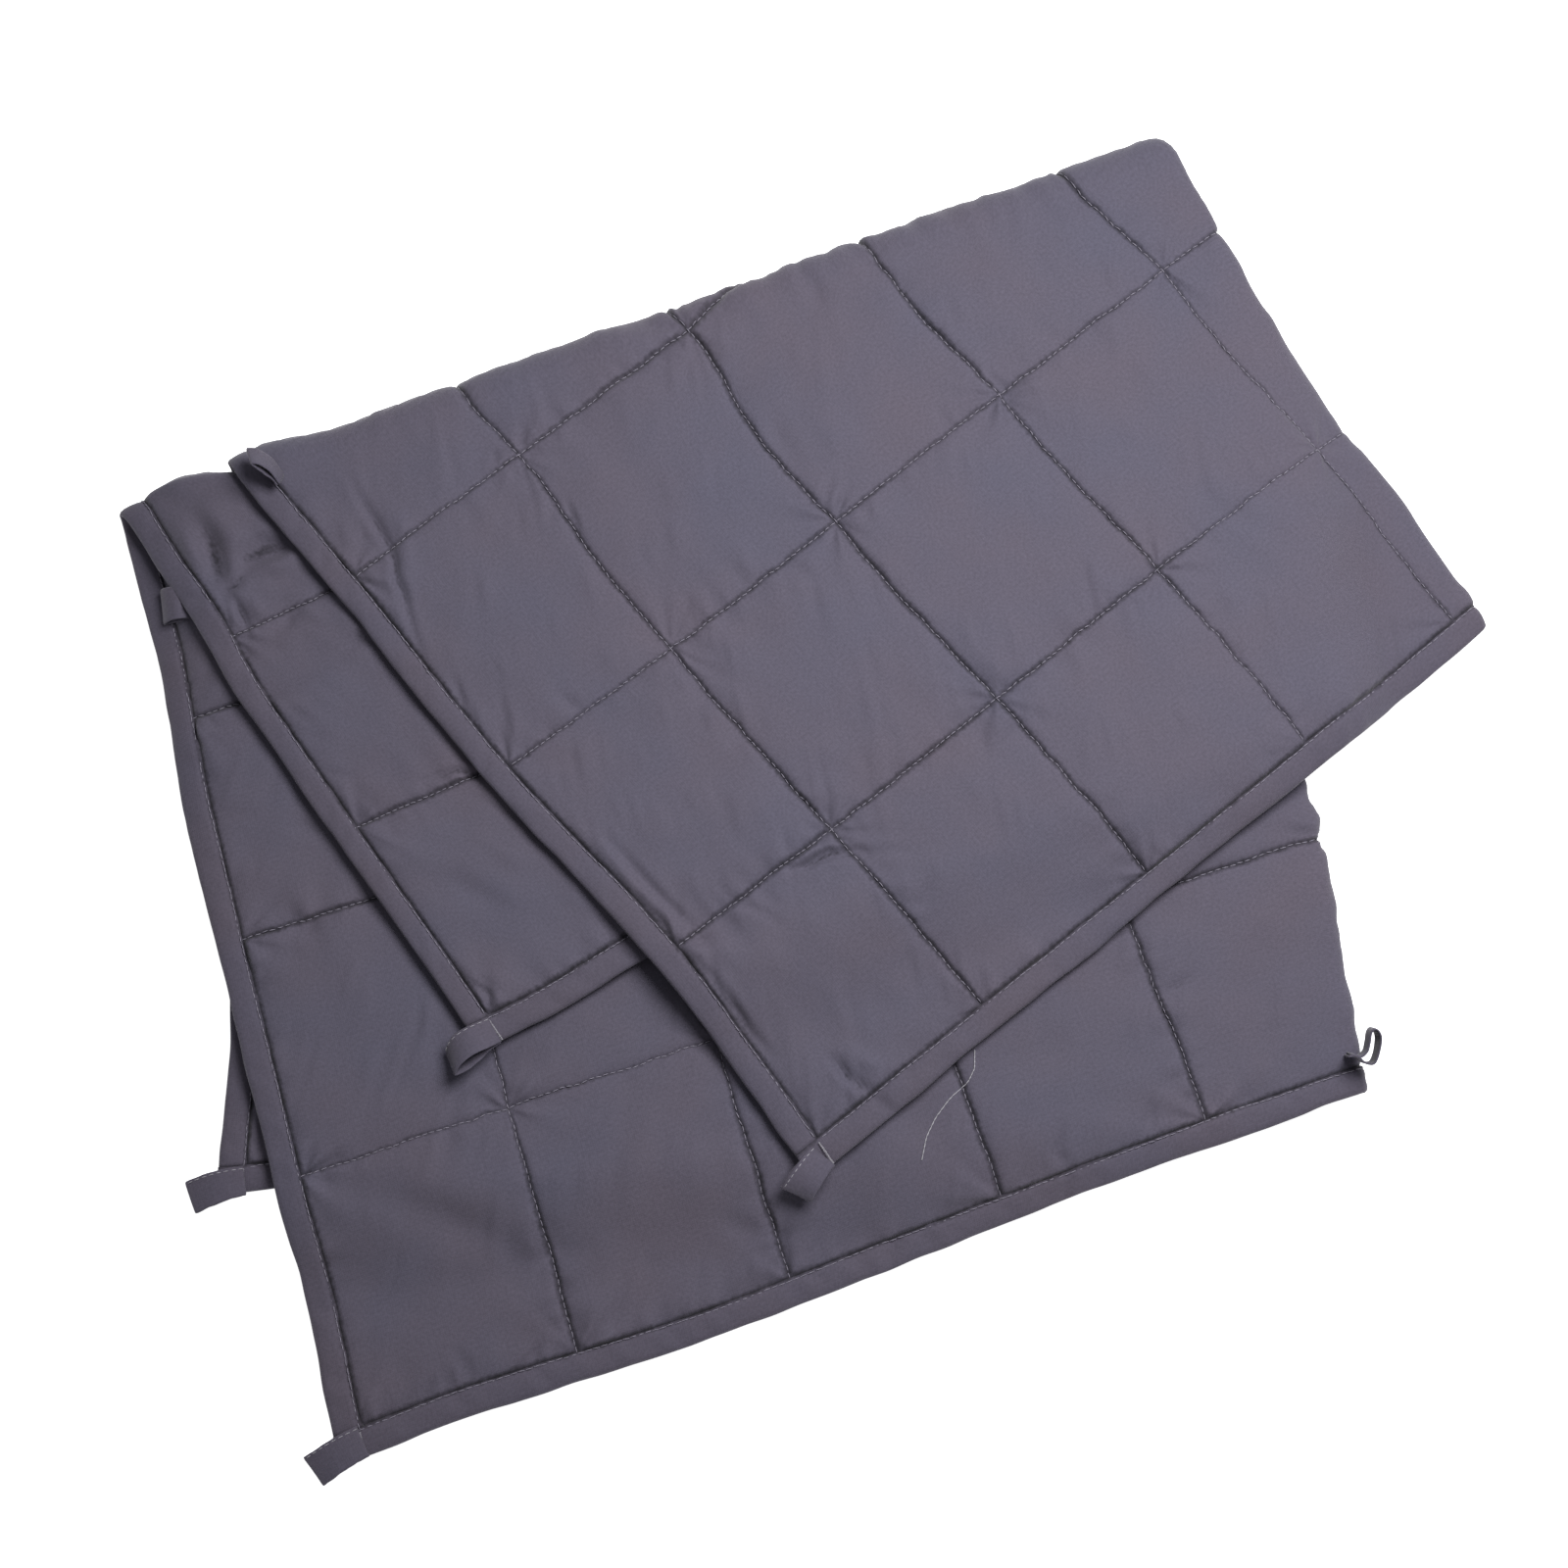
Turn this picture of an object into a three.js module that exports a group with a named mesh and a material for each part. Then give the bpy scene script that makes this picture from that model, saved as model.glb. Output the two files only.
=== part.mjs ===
// A weighted dog blanket, folded in half and then folded over once more, so that four layers lie on
// each other. Millimetres, +Z up. The cloth is described twice: flat, by its sewing lines, and folded,
// by where nine points of it lie on the floor and where it was pulled aside. Everything else is worked
// out between the two.
import * as THREE from 'three';

// Flat cloth. X runs along the hems and Y along the sides, both from the corner of the stitch lines
// of the layer that ends on top.
const COLUMN_WIDTHS = [97, 99, 99, 98, 99, 98, 97, 96, 96, 96];
const ROW_LENGTHS = [104, 110, 114, 114, 111, 111, 111];
const runningSum = (parts) => parts.reduce((sums, part) => [...sums, sums.at(-1) + part], [0]);
const COLUMN_LINES = runningSum(COLUMN_WIDTHS);
const ROW_LINES = runningSum(ROW_LENGTHS);
const WIDTH = COLUMN_LINES.at(-1);
const LENGTH = ROW_LINES.at(-1);

// Thicknesses
const LAYER_PITCH = 9.6;          // from the middle of one layer to the middle of the next
const CROWN_THICKNESS = 8;        // filled cell at its middle
const SEAM_THICKNESS = 2.2;       // at a stitch line
const FLOOR_TO_MIDDLE = 2.4;      // the lowest layer presses its crowns flat
const STITCH_GAP = 0.85;          // between the quilt and its binding
const BINDING_WIDTH = 12.5;
// Binding section: distance from the stitch line and thickness there
const BINDING_SECTION = [
  { out: STITCH_GAP, thickness: 2.4 },
  { out: 3.2, thickness: 3.5 },
  { out: 9.6, thickness: 3.3 },
  { out: BINDING_WIDTH, thickness: 1.5 },
];

// Creases in the flat cloth. The first crease runs from hem to hem, the second from side to side.
const CREASE_CROSSING = { x: 446, y: 264 };
const FIRST_CREASE = [
  { y: 0, x: 408 },
  { y: 104, x: 415 },
  { y: 214, x: 427 },
  CREASE_CROSSING,
  { y: LENGTH, x: 511 },
];
const SECOND_CREASE = { innerSideY: 404, outerSideY: 300 };

// Where the creases and the four corners lie on the floor, seen from above
const PLACE = {
  crossing: [185, 316],
  creaseAtNearHem: [324, 82],
  creaseAtFarHem: [262, -133],
  creaseAtInnerSide: [-248, 151],
  creaseAtOuterSide: [-307, 131],
};
// Layers from the top down. inner: x before the first crease. near: y before the second crease.
// gathered: cloth bunched up beside the second crease.
const LAYERS = [
  { inner: true, near: true, corner: [13, -167], gathered: 0 },
  { inner: false, near: true, corner: [-133, -112], gathered: 12 },
  { inner: false, near: false, corner: [-186, -289], gathered: 40 },
  { inner: true, near: false, corner: [-243, -175], gathered: 10 },
];
const GATHERED_AT_CROSSING = { near: 0, far: 34 };
const GATHER_REACH = 60;
// Where the cloth was pulled or pushed as it was laid: place on the flat cloth, how far the pull
// reaches along x and y there, and how far it shifts the folded cloth along the floor
const SWAYS = [
  { x: 430, y: 165, reach: [200, 75], shift: [-7, -4.5] },
  { x: 409, y: 60, reach: [40, 35], shift: [2, 1.5] },
  { x: 408, y: -5, reach: [25, 25], shift: [2.5, 3] },
  { x: 220, y: 214, reach: [200, 60], shift: [-2.5, -2] },
  { x: 130, y: 170, reach: [90, 90], shift: [0, -3.5] },
  { x: 180, y: 320, reach: [90, 35], shift: [7, 2] },
  { x: 150, y: 0, reach: [110, 60], shift: [3, 2] },
  { x: 0, y: 100, reach: [60, 85], shift: [6, 4.5] },
  { x: 0, y: 395, reach: [40, 30], shift: [-4, 4.2] },
  { x: 30, y: 392, reach: [35, 25], shift: [1, -3] },
  { x: 975, y: 300, reach: [44, 38], shift: [-2, 12] },
  { x: 950, y: 300, reach: [20, 30], shift: [-1, 4] },
  { x: 975, y: 235, reach: [50, 35], shift: [6, -1] },
  { x: 975, y: 400, reach: [60, 60], shift: [4, 0] },
  { x: 860, y: 0, reach: [70, 70], shift: [-3, 13] },
  { x: 830, y: 775, reach: [75, 70], shift: [2, -4] },
  { x: 720, y: 775, reach: [70, 70], shift: [4, 0] },
  { x: 610, y: 775, reach: [100, 70], shift: [4.5, 3] },
  { x: 505, y: 650, reach: [60, 70], shift: [4.5, 1] },
  { x: 0, y: 710, reach: [30, 40], shift: [2.5, 0] },
  { x: -14, y: 781, reach: [35, 40], shift: [-1.2, -2] },
  { x: 989, y: 781, reach: [40, 50], shift: [-2, -3] },
];

// Folds: the half thickness of one folded pair, and of the two pairs
const FIRST_RADIUS = LAYER_PITCH / 2;
const SECOND_RADIUS = LAYER_PITCH;
const QUARTER_TURN = Math.PI / 2;
const FOLD_LEVEL = 1.5;           // height of the second fold's middle, in layers from the lowest

// A layer lies level over the layers below it and sinks past their edges
const LEDGE = BINDING_WIDTH + 1.5;
const SINK_LENGTH = 50;

const plan = (pair) => new THREE.Vector2(...pair);
const CROSSING = plan(PLACE.crossing);
// Unit steps along the second crease, towards the sides, and from it towards the hems
const ALONG_CREASE = plan(PLACE.creaseAtOuterSide).sub(CROSSING).normalize();
const FROM_CREASE = new THREE.Vector2(-ALONG_CREASE.y, ALONG_CREASE.x);

const blend = (from, to, share) => from + (to - from) * share;
const firstCreaseX = (y) => {
  const found = FIRST_CREASE.findIndex((knot) => knot.y > y);
  const next = found < 0 ? FIRST_CREASE.length - 1 : Math.max(found, 1);
  const [from, to] = FIRST_CREASE.slice(next - 1, next + 1);
  const share = THREE.MathUtils.clamp((y - from.y) / (to.y - from.y), 0, 1);
  return blend(from.x, to.x, share);
};
const secondCreaseY = (x) => {
  const { x: crossX, y: crossY } = CREASE_CROSSING;
  const { innerSideY, outerSideY } = SECOND_CREASE;
  return x < crossX
    ? innerSideY + (crossY - innerSideY) * x / crossX
    : crossY + (outerSideY - crossY) * (x - crossX) / (WIDTH - crossX);
};

// The place on the floor before the folds are rounded, with the layer that the point belongs to
function layFlat(x, y) {
  const inner = x < firstCreaseX(y);
  const near = y < secondCreaseY(x);
  const layer = LAYERS.find((row) => row.inner === inner && row.near === near);
  const creaseX = firstCreaseX(y);
  const sideward = inner ? (creaseX - x) / creaseX : (x - creaseX) / (WIDTH - creaseX);
  const creaseY = secondCreaseY(x);
  const fromCrease = Math.abs(y - creaseY);
  const toHem = near ? creaseY : LENGTH - creaseY;
  const gatheredHere = near ? GATHERED_AT_CROSSING.near : GATHERED_AT_CROSSING.far;
  const gathered = blend(gatheredHere, layer.gathered, Math.min(sideward, 1));
  const laid = (distance) => distance - gathered * (1 - Math.exp(-distance / GATHER_REACH));
  const hemward = laid(fromCrease) / laid(toHem);
  const side = plan(inner ? PLACE.creaseAtInnerSide : PLACE.creaseAtOuterSide);
  const hem = plan(near ? PLACE.creaseAtNearHem : PLACE.creaseAtFarHem);
  const onCrease = CROSSING.clone().lerp(side, sideward);
  const onHem = hem.lerp(plan(layer.corner), sideward);
  const place = onCrease.clone().add(onHem.sub(onCrease).multiplyScalar(hemward));
  return { place, inner, near };
}

// Signed distances from the two creases: both are negative in the layer that ends on top
const fromFirstCrease = (x, y) => x - firstCreaseX(y);
const fromSecondCrease = (x, y) => {
  const { place, near } = layFlat(x, y);
  return (near ? -1 : 1) * place.sub(CROSSING).dot(FROM_CREASE);
};

// How far the cloth lies from where plain straight folds would have put it
function swayAt(x, y) {
  const moved = new THREE.Vector2();
  for (const { x: middleX, y: middleY, reach: [reachX, reachY], shift } of SWAYS) {
    const away = ((x - middleX) / reachX) ** 2 + ((y - middleY) / reachY) ** 2;
    moved.addScaledVector(plan(shift), Math.exp(-away));
  }
  return moved;
}

// How far inwards a point lies once the cloth turns round a fold of this radius
function roundOff(distance, radius, bentRadius) {
  const quarter = QUARTER_TURN * radius;
  return distance >= quarter ? distance : quarter - bentRadius * Math.cos(distance / radius);
}

// Outline of one layer on the floor, and how much of its thickness carries what lies above a point
const outlineOf = (layer) => {
  const side = plan(layer.inner ? PLACE.creaseAtInnerSide : PLACE.creaseAtOuterSide);
  const hem = plan(layer.near ? PLACE.creaseAtNearHem : PLACE.creaseAtFarHem);
  return [CROSSING, side, plan(layer.corner), hem];
};
const OUTLINES_FROM_FLOOR = LAYERS.slice(1).reverse().map(outlineOf);

function carried(outline, place) {
  let outside = -Infinity;
  outline.forEach((start, index) => {
    const edge = outline[(index + 1) % outline.length].clone().sub(start).normalize();
    const away = place.clone().sub(start);
    outside = Math.max(outside, away.x * edge.y - away.y * edge.x);
  });
  return 1 - THREE.MathUtils.smoothstep(outside, LEDGE, LEDGE + SINK_LENGTH);
}

// The middle of the cloth in its folded place
function fold(x, y) {
  const { place, inner, near } = layFlat(x, y);
  const first = Math.abs(fromFirstCrease(x, y));
  place.addScaledVector(ALONG_CREASE, roundOff(first, FIRST_RADIUS, FIRST_RADIUS) - first);
  const turn = Math.sin(Math.min(first / FIRST_RADIUS, QUARTER_TURN));
  const bentRadius = SECOND_RADIUS + (inner ? 1 : -1) * FIRST_RADIUS * turn;
  const second = place.clone().sub(CROSSING).dot(FROM_CREASE);
  place.addScaledVector(FROM_CREASE, roundOff(second, SECOND_RADIUS, bentRadius) - second);
  place.add(swayAt(x, y));
  const rise = bentRadius * Math.sin(Math.min(second / SECOND_RADIUS, QUARTER_TURN));
  const level = FOLD_LEVEL + (near ? 1 : -1) * rise / LAYER_PITCH;
  let z = FLOOR_TO_MIDDLE;
  OUTLINES_FROM_FLOOR.forEach((outline, below) => {
    z += LAYER_PITCH * carried(outline, place) * THREE.MathUtils.clamp(level - below, 0, 1);
  });
  return new THREE.Vector3(place.x, place.y, z);
}

// Out of the folded cloth, found by small steps to both sides
function normalAt(x, y) {
  const STEP = 0.6;
  const alongX = fold(x + STEP, y).sub(fold(x - STEP, y)).normalize();
  const alongY = fold(x, y + STEP).sub(fold(x, y - STEP)).normalize();
  return alongX.cross(alongY).normalize();
}

// Filled cells are thick in the middle and drawn together at their stitch lines
function cellShare(lines, at) {
  const next = Math.min(Math.max(lines.findIndex((line) => line > at), 1), lines.length - 1);
  const share = (at - lines[next - 1]) / (lines[next] - lines[next - 1]);
  return THREE.MathUtils.clamp(share, 0, 1);
}
const SWELL_POWER = 4;            // the higher, the flatter the middle of a cell
function cellThickness(x, y) {
  const swell = (share) => 1 - Math.abs(2 * share - 1) ** SWELL_POWER;
  const fill = Math.sqrt(swell(cellShare(COLUMN_LINES, x)) * swell(cellShare(ROW_LINES, y)));
  return blend(SEAM_THICKNESS, CROWN_THICKNESS, fill);
}

// A flat net of triangles over the given lines, then cut along the folds
function netOver(xs, ys) {
  const points = [];
  ys.forEach((y) => xs.forEach((x) => points.push([x, y])));
  const faces = [];
  for (let row = 0; row + 1 < ys.length; row += 1) {
    for (let column = 0; column + 1 < xs.length; column += 1) {
      const corner = row * xs.length + column;
      const above = corner + xs.length;
      faces.push([corner, corner + 1, above + 1], [corner, above + 1, above]);
    }
  }
  return { points, faces };
}

// Points closer to a cut than this are taken as being on it
const SNAP = 0.25;

function cutNet(net, field, value) {
  const height = net.points.map(([x, y]) => {
    const away = field(x, y) - value;
    return Math.abs(away) < SNAP ? 0 : away;
  });
  const cuts = new Map();
  const cutBetween = (a, b) => {
    const key = a < b ? `${a},${b}` : `${b},${a}`;
    if (!cuts.has(key)) {
      const share = height[a] / (height[a] - height[b]);
      const point = net.points[a].map((from, axis) => blend(from, net.points[b][axis], share));
      cuts.set(key, net.points.push(point) - 1);
    }
    return cuts.get(key);
  };
  const faces = [];
  for (const face of net.faces) {
    const sides = { low: [], high: [] };
    face.forEach((a, index) => {
      const b = face[(index + 1) % face.length];
      if (height[a] <= 0) sides.low.push(a);
      if (height[a] >= 0) sides.high.push(a);
      if (height[a] * height[b] < 0) {
        const cut = cutBetween(a, b);
        sides.low.push(cut);
        sides.high.push(cut);
      }
    });
    const whole = face.every((a) => height[a] === 0);
    for (const side of whole ? [sides.low] : [sides.low, sides.high]) {
      for (let corner = 1; corner + 1 < side.length; corner += 1) {
        faces.push([side[0], side[corner], side[corner + 1]]);
      }
    }
  }
  return { points: net.points, faces };
}

const FIRST_CUTS = [-1, -0.33, 0.33, 1].map((share) => share * QUARTER_TURN * FIRST_RADIUS);
const SECOND_CUTS = [-1, -0.5, 0, 0.5, 1].map((share) => share * QUARTER_TURN * SECOND_RADIUS);

// A closed sheet: both faces of the folded cloth, and its rim
function sheetOver(xs, ys, thickness) {
  let net = netOver(xs, ys);
  FIRST_CUTS.forEach((value) => { net = cutNet(net, fromFirstCrease, value); });
  SECOND_CUTS.forEach((value) => { net = cutNet(net, fromSecondCrease, value); });
  const positions = [];
  for (const side of [1, -1]) {
    for (const [x, y] of net.points) {
      const point = fold(x, y).addScaledVector(normalAt(x, y), side * thickness(x, y) / 2);
      positions.push(point.x, point.y, Math.max(point.z, 0));
    }
  }
  const count = net.points.length;
  const indices = [];
  const open = new Map();
  for (const [a, b, c] of net.faces) {
    indices.push(a, b, c, count + a, count + c, count + b);
    [[a, b], [b, c], [c, a]].forEach(([from, to]) => {
      if (!open.delete(`${to},${from}`)) open.set(`${from},${to}`, [from, to]);
    });
  }
  // Rims that face each other are split along the same way, so that they stay parallel round a fold
  const reach = net.points.map(([x, y]) => x + y);
  for (const [from, to] of open.values()) {
    if (reach[from] < reach[to]) indices.push(to, from, count + from, to, count + from, count + to);
    else indices.push(to, from, count + to, from, count + from, count + to);
  }
  const geometry = new THREE.BufferGeometry();
  geometry.setAttribute('position', new THREE.Float32BufferAttribute(positions, 3));
  geometry.setIndex(indices);
  return geometry;
}

// Lines across each cell at these shares of it
function linesAcross(lines, shares) {
  const all = [];
  for (let cell = 0; cell + 1 < lines.length; cell += 1) {
    shares.forEach((share) => all.push(blend(lines[cell], lines[cell + 1], share)));
  }
  return [...all, lines.at(-1)];
}
const CELL_SHARES = [0, 0.08, 0.5, 0.92];

const quiltGeometry = () => sheetOver(
  linesAcross(COLUMN_LINES, CELL_SHARES),
  linesAcross(ROW_LINES, CELL_SHARES),
  cellThickness,
);

// Thickness of the binding at a distance from its stitch line
function bindingThickness(out) {
  const next = Math.max(BINDING_SECTION.findIndex((row) => row.out >= out - 1e-6), 1);
  const [from, to] = BINDING_SECTION.slice(next - 1, next + 1);
  return blend(from.thickness, to.thickness, (out - from.out) / (to.out - from.out));
}
const BINDING_OUTS = BINDING_SECTION.map((row) => row.out);
const inset = (lines) => [lines[0] + STITCH_GAP, ...lines.slice(1, -1), lines.at(-1) - STITCH_GAP];

// Bindings along the two sides
function sideBinding(outer) {
  const xs = outer ? BINDING_OUTS.map((out) => WIDTH + out) : BINDING_OUTS.map((out) => -out).reverse();
  const ys = inset(linesAcross(ROW_LINES, CELL_SHARES));
  return sheetOver(xs, ys, (x) => bindingThickness(outer ? x - WIDTH : -x));
}
// Bindings along the two hems, which also close the corners past the ends of the side bindings
function hemBinding(far) {
  const xs = [-BINDING_WIDTH, ...linesAcross(COLUMN_LINES, CELL_SHARES), WIDTH + BINDING_WIDTH];
  const ys = far ? BINDING_OUTS.map((out) => LENGTH + out) : BINDING_OUTS.map((out) => -out).reverse();
  return sheetOver(xs, ys, (x, y) => bindingThickness(far ? y - LENGTH : -y));
}

// Loops of doubled tape. x and y say where on the cloth the middle of the tape starts, and lift how far
// above the middle of the cloth. heading is the way the tape runs on the floor and pitch how it rises,
// both in degrees. roll turns it on its long axis: 0 lies flat and 90 stands on its edge. open is the
// widest gap between the two plies.
const TAPE_WIDTH = 15;
const LOOPS = [
  {
    name: 'corner_loop_1', x: -14.4, y: -10.6, lift: 0,
    heading: 233, pitch: -4, roll: 0, length: 8.5, open: 2.2,
  },
  {
    name: 'corner_loop_2', x: WIDTH + 16, y: -6.4, lift: 0,
    heading: 231, pitch: 0, roll: 20, length: 12.5, open: 3,
  },
  {
    name: 'corner_loop_3', x: WIDTH + 14.4, y: LENGTH + 9, lift: 0,
    heading: 211, pitch: 0, roll: 0, length: 10.5, open: 1.6,
  },
  {
    name: 'corner_loop_4', x: -14.2, y: LENGTH + 10, lift: 0,
    heading: 194, pitch: 0, roll: 0, length: 11, open: 1.6,
  },
  {
    name: 'side_loop_1', x: 3.8, y: 383.6, lift: 7,
    heading: 161, pitch: 53, roll: 49, length: 16, open: 3,
  },
  {
    name: 'side_loop_2', x: WIDTH - 11.8, y: 385, lift: 5,
    heading: 177, pitch: 0, roll: 0, length: 14, open: 1,
  },
  {
    name: 'hem_loop', x: 522, y: LENGTH - 1, lift: 11.8,
    heading: 55, pitch: 0, roll: 86, length: 21, open: 3.2,
  },
];
const PLY = 1.1;
const ROOT_SHARE = 0.34;          // length over which the two plies are sewn together
const SLOT_FULLNESS = 0.6;        // under 1 the slot opens at once, over 1 slowly
const LOOP_STEPS = 8;

// Half the gap between the plies along the tape
const halfGap = (share, open) => {
  const beyond = THREE.MathUtils.clamp((share - ROOT_SHARE) / (1 - ROOT_SHARE), 0, 1);
  return open / 2 * Math.sin(Math.PI * beyond) ** SLOT_FULLNESS;
};

function loopGeometry({ length, open }) {
  const shares = Array.from({ length: LOOP_STEPS + 1 }, (_, step) => step / LOOP_STEPS);
  const straight = length - PLY;
  const outer = new THREE.Shape();
  outer.moveTo(0, -PLY);
  shares.slice(1).forEach((share) => outer.lineTo(share * straight, -PLY - halfGap(share, open)));
  outer.lineTo(length, 0);
  shares.slice(1).reverse().forEach((share) => {
    outer.lineTo(share * straight, PLY + halfGap(share, open));
  });
  outer.lineTo(0, PLY);
  const slot = new THREE.Path();
  const inside = shares.filter((share) => share > ROOT_SHARE && share < 1);
  slot.moveTo(ROOT_SHARE * length, 0);
  inside.forEach((share) => slot.lineTo(share * straight, halfGap(share, open)));
  slot.lineTo(length - 2 * PLY, 0);
  [...inside].reverse().forEach((share) => slot.lineTo(share * straight, -halfGap(share, open)));
  outer.holes.push(slot);
  const geometry = new THREE.ExtrudeGeometry(outer, { depth: TAPE_WIDTH, steps: 1, bevelEnabled: false });
  geometry.translate(0, 0, -TAPE_WIDTH / 2);
  geometry.rotateX(QUARTER_TURN);
  return geometry;
}

const CLOTH_COLOUR = 0x67626f;
const BINDING_COLOUR = 0x625d69;
const LOOP_COLOUR = 0x5e5965;
function clothMesh(name, geometry, color) {
  const material = new THREE.MeshStandardMaterial({ color, roughness: 0.9, metalness: 0 });
  const mesh = new THREE.Mesh(geometry, material);
  mesh.name = name;
  return mesh;
}

function loopMesh(row) {
  const mesh = clothMesh(row.name, loopGeometry(row), LOOP_COLOUR);
  const up = normalAt(row.x, row.y);
  if (up.z < 0) up.negate();
  const heading = THREE.MathUtils.degToRad(row.heading);
  const along = new THREE.Vector3(Math.cos(heading), Math.sin(heading), 0).projectOnPlane(up).normalize();
  const across = up.clone().cross(along);
  mesh.quaternion.setFromRotationMatrix(new THREE.Matrix4().makeBasis(along, across, up));
  mesh.rotateY(THREE.MathUtils.degToRad(-row.pitch));
  mesh.rotateX(THREE.MathUtils.degToRad(row.roll));
  mesh.position.copy(fold(row.x, row.y)).addScaledVector(up, row.lift);
  return mesh;
}

const blanket = new THREE.Group();
blanket.add(clothMesh('quilt', quiltGeometry(), CLOTH_COLOUR));
blanket.add(clothMesh('side_binding_1', sideBinding(false), BINDING_COLOUR));
blanket.add(clothMesh('side_binding_2', sideBinding(true), BINDING_COLOUR));
blanket.add(clothMesh('hem_binding_1', hemBinding(false), BINDING_COLOUR));
blanket.add(clothMesh('hem_binding_2', hemBinding(true), BINDING_COLOUR));
LOOPS.forEach((row) => blanket.add(loopMesh(row)));

// The origin is under the middle of the folded blanket, on the floor
blanket.updateMatrixWorld(true);
const box = new THREE.Box3().setFromObject(blanket, true);
const middle = box.getCenter(new THREE.Vector3());
blanket.position.set(-middle.x, -middle.y, -box.min.z);
blanket.updateMatrixWorld(true);

export default blanket;
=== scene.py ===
# A weighted dog blanket, folded in half and folded over once more, on a pale floor.
# The cloth is described flat, in millimetres, and carried to its folded place by one map.
import math

import bpy
import numpy as np
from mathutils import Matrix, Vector


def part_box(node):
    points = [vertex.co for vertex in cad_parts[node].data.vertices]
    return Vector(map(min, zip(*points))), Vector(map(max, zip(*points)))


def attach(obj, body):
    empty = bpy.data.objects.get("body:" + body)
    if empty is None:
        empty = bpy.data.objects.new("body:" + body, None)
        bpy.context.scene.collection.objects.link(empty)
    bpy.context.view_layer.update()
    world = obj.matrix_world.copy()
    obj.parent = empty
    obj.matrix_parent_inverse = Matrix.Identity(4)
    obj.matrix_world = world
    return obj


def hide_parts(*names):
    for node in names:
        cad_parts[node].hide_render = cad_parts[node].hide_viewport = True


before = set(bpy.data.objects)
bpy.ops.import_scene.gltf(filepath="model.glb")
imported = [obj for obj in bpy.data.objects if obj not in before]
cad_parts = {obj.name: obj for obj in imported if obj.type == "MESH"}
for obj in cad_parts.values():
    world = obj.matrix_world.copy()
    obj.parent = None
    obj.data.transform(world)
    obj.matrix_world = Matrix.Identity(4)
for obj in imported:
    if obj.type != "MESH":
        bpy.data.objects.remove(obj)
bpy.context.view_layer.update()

MM = 0.001
BODY = "root"

# Flat cloth, in millimetres: X along the hems, Y along the sides
COLUMN_WIDTHS = [97, 99, 99, 98, 99, 98, 97, 96, 96, 96]
ROW_LENGTHS = [104, 110, 114, 114, 111, 111, 111]
COLUMN_LINES = np.concatenate([[0.0], np.cumsum(COLUMN_WIDTHS)])
ROW_LINES = np.concatenate([[0.0], np.cumsum(ROW_LENGTHS)])
WIDTH = COLUMN_LINES[-1]
LENGTH = ROW_LINES[-1]

LAYER_PITCH = 9.6
SEAM_THICKNESS = 1.8
FLOOR_TO_MIDDLE = 2.4
BINDING_WIDTH = 12.5

# Creases in the flat cloth
CROSS_X, CROSS_Y = 446.0, 264.0
FIRST_CREASE_Y = [0, 104, 214, CROSS_Y, LENGTH]
FIRST_CREASE_X = [408, 415, 427, CROSS_X, 511]
INNER_SIDE_Y, OUTER_SIDE_Y = 404.0, 300.0
# Places on the floor: where the creases cross, where they end at the far and near hem and the outer and inner
# side, and the layers' corners, by side and hem in the same order
CROSSING = np.array([185.0, 316.0])
CREASE_AT_HEM = np.array([(262, -133), (324, 82)])
CREASE_AT_SIDE = np.array([(-307, 131), (-248, 151)])
CORNER = np.array([[(-186, -289), (-133, -112)], [(-243, -175), (13, -167)]])
# Cloth bunched up beside the second crease, at the sides and at the crossing
GATHERED = np.array([[40, 12], [10, 0]])
GATHERED_AT_CROSSING = np.array([34, 0])
GATHER_REACH = 60.0
FIRST_RADIUS = LAYER_PITCH / 2
SECOND_RADIUS = LAYER_PITCH
QUARTER_TURN = math.pi / 2
LEDGE = BINDING_WIDTH + 1.5
SINK_LENGTH = 50.0
MIDDLE_LEVEL = 1.5

ALONG_CREASE = CREASE_AT_SIDE[0] - CROSSING
ALONG_CREASE /= np.linalg.norm(ALONG_CREASE)
FROM_CREASE = np.array([-ALONG_CREASE[1], ALONG_CREASE[0]])


def first_crease_x(y):
    return np.interp(y, FIRST_CREASE_Y, FIRST_CREASE_X)


def second_crease_y(x):
    before = INNER_SIDE_Y + (CROSS_Y - INNER_SIDE_Y) * x / CROSS_X
    after = CROSS_Y + (OUTER_SIDE_Y - CROSS_Y) * (x - CROSS_X) / (WIDTH - CROSS_X)
    return np.where(x < CROSS_X, before, after)


def lay_flat(x, y):
    """Places on the floor before the folds are rounded, and each point's layer, as 1 for inner and near."""
    crease_x = first_crease_x(y)
    crease_y = second_crease_y(x)
    inner = (x < crease_x).astype(int)
    near = (y < crease_y).astype(int)
    sideward = np.where(inner, (crease_x - x) / crease_x, (x - crease_x) / (WIDTH - crease_x))
    from_crease = np.abs(y - crease_y)
    to_hem = np.where(near, crease_y, LENGTH - crease_y)
    at_crossing = GATHERED_AT_CROSSING[near]
    gathered = at_crossing + (GATHERED[inner, near] - at_crossing) * np.minimum(sideward, 1)

    def laid(distance):
        return distance - gathered * (1 - np.exp(-distance / GATHER_REACH))

    hemward = (laid(from_crease) / laid(to_hem))[..., None]
    across = sideward[..., None]
    hem = CREASE_AT_HEM[near]
    on_crease = CROSSING + (CREASE_AT_SIDE[inner] - CROSSING) * across
    on_hem = hem + (CORNER[inner, near] - hem) * across
    return on_crease + (on_hem - on_crease) * hemward, inner, near


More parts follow.
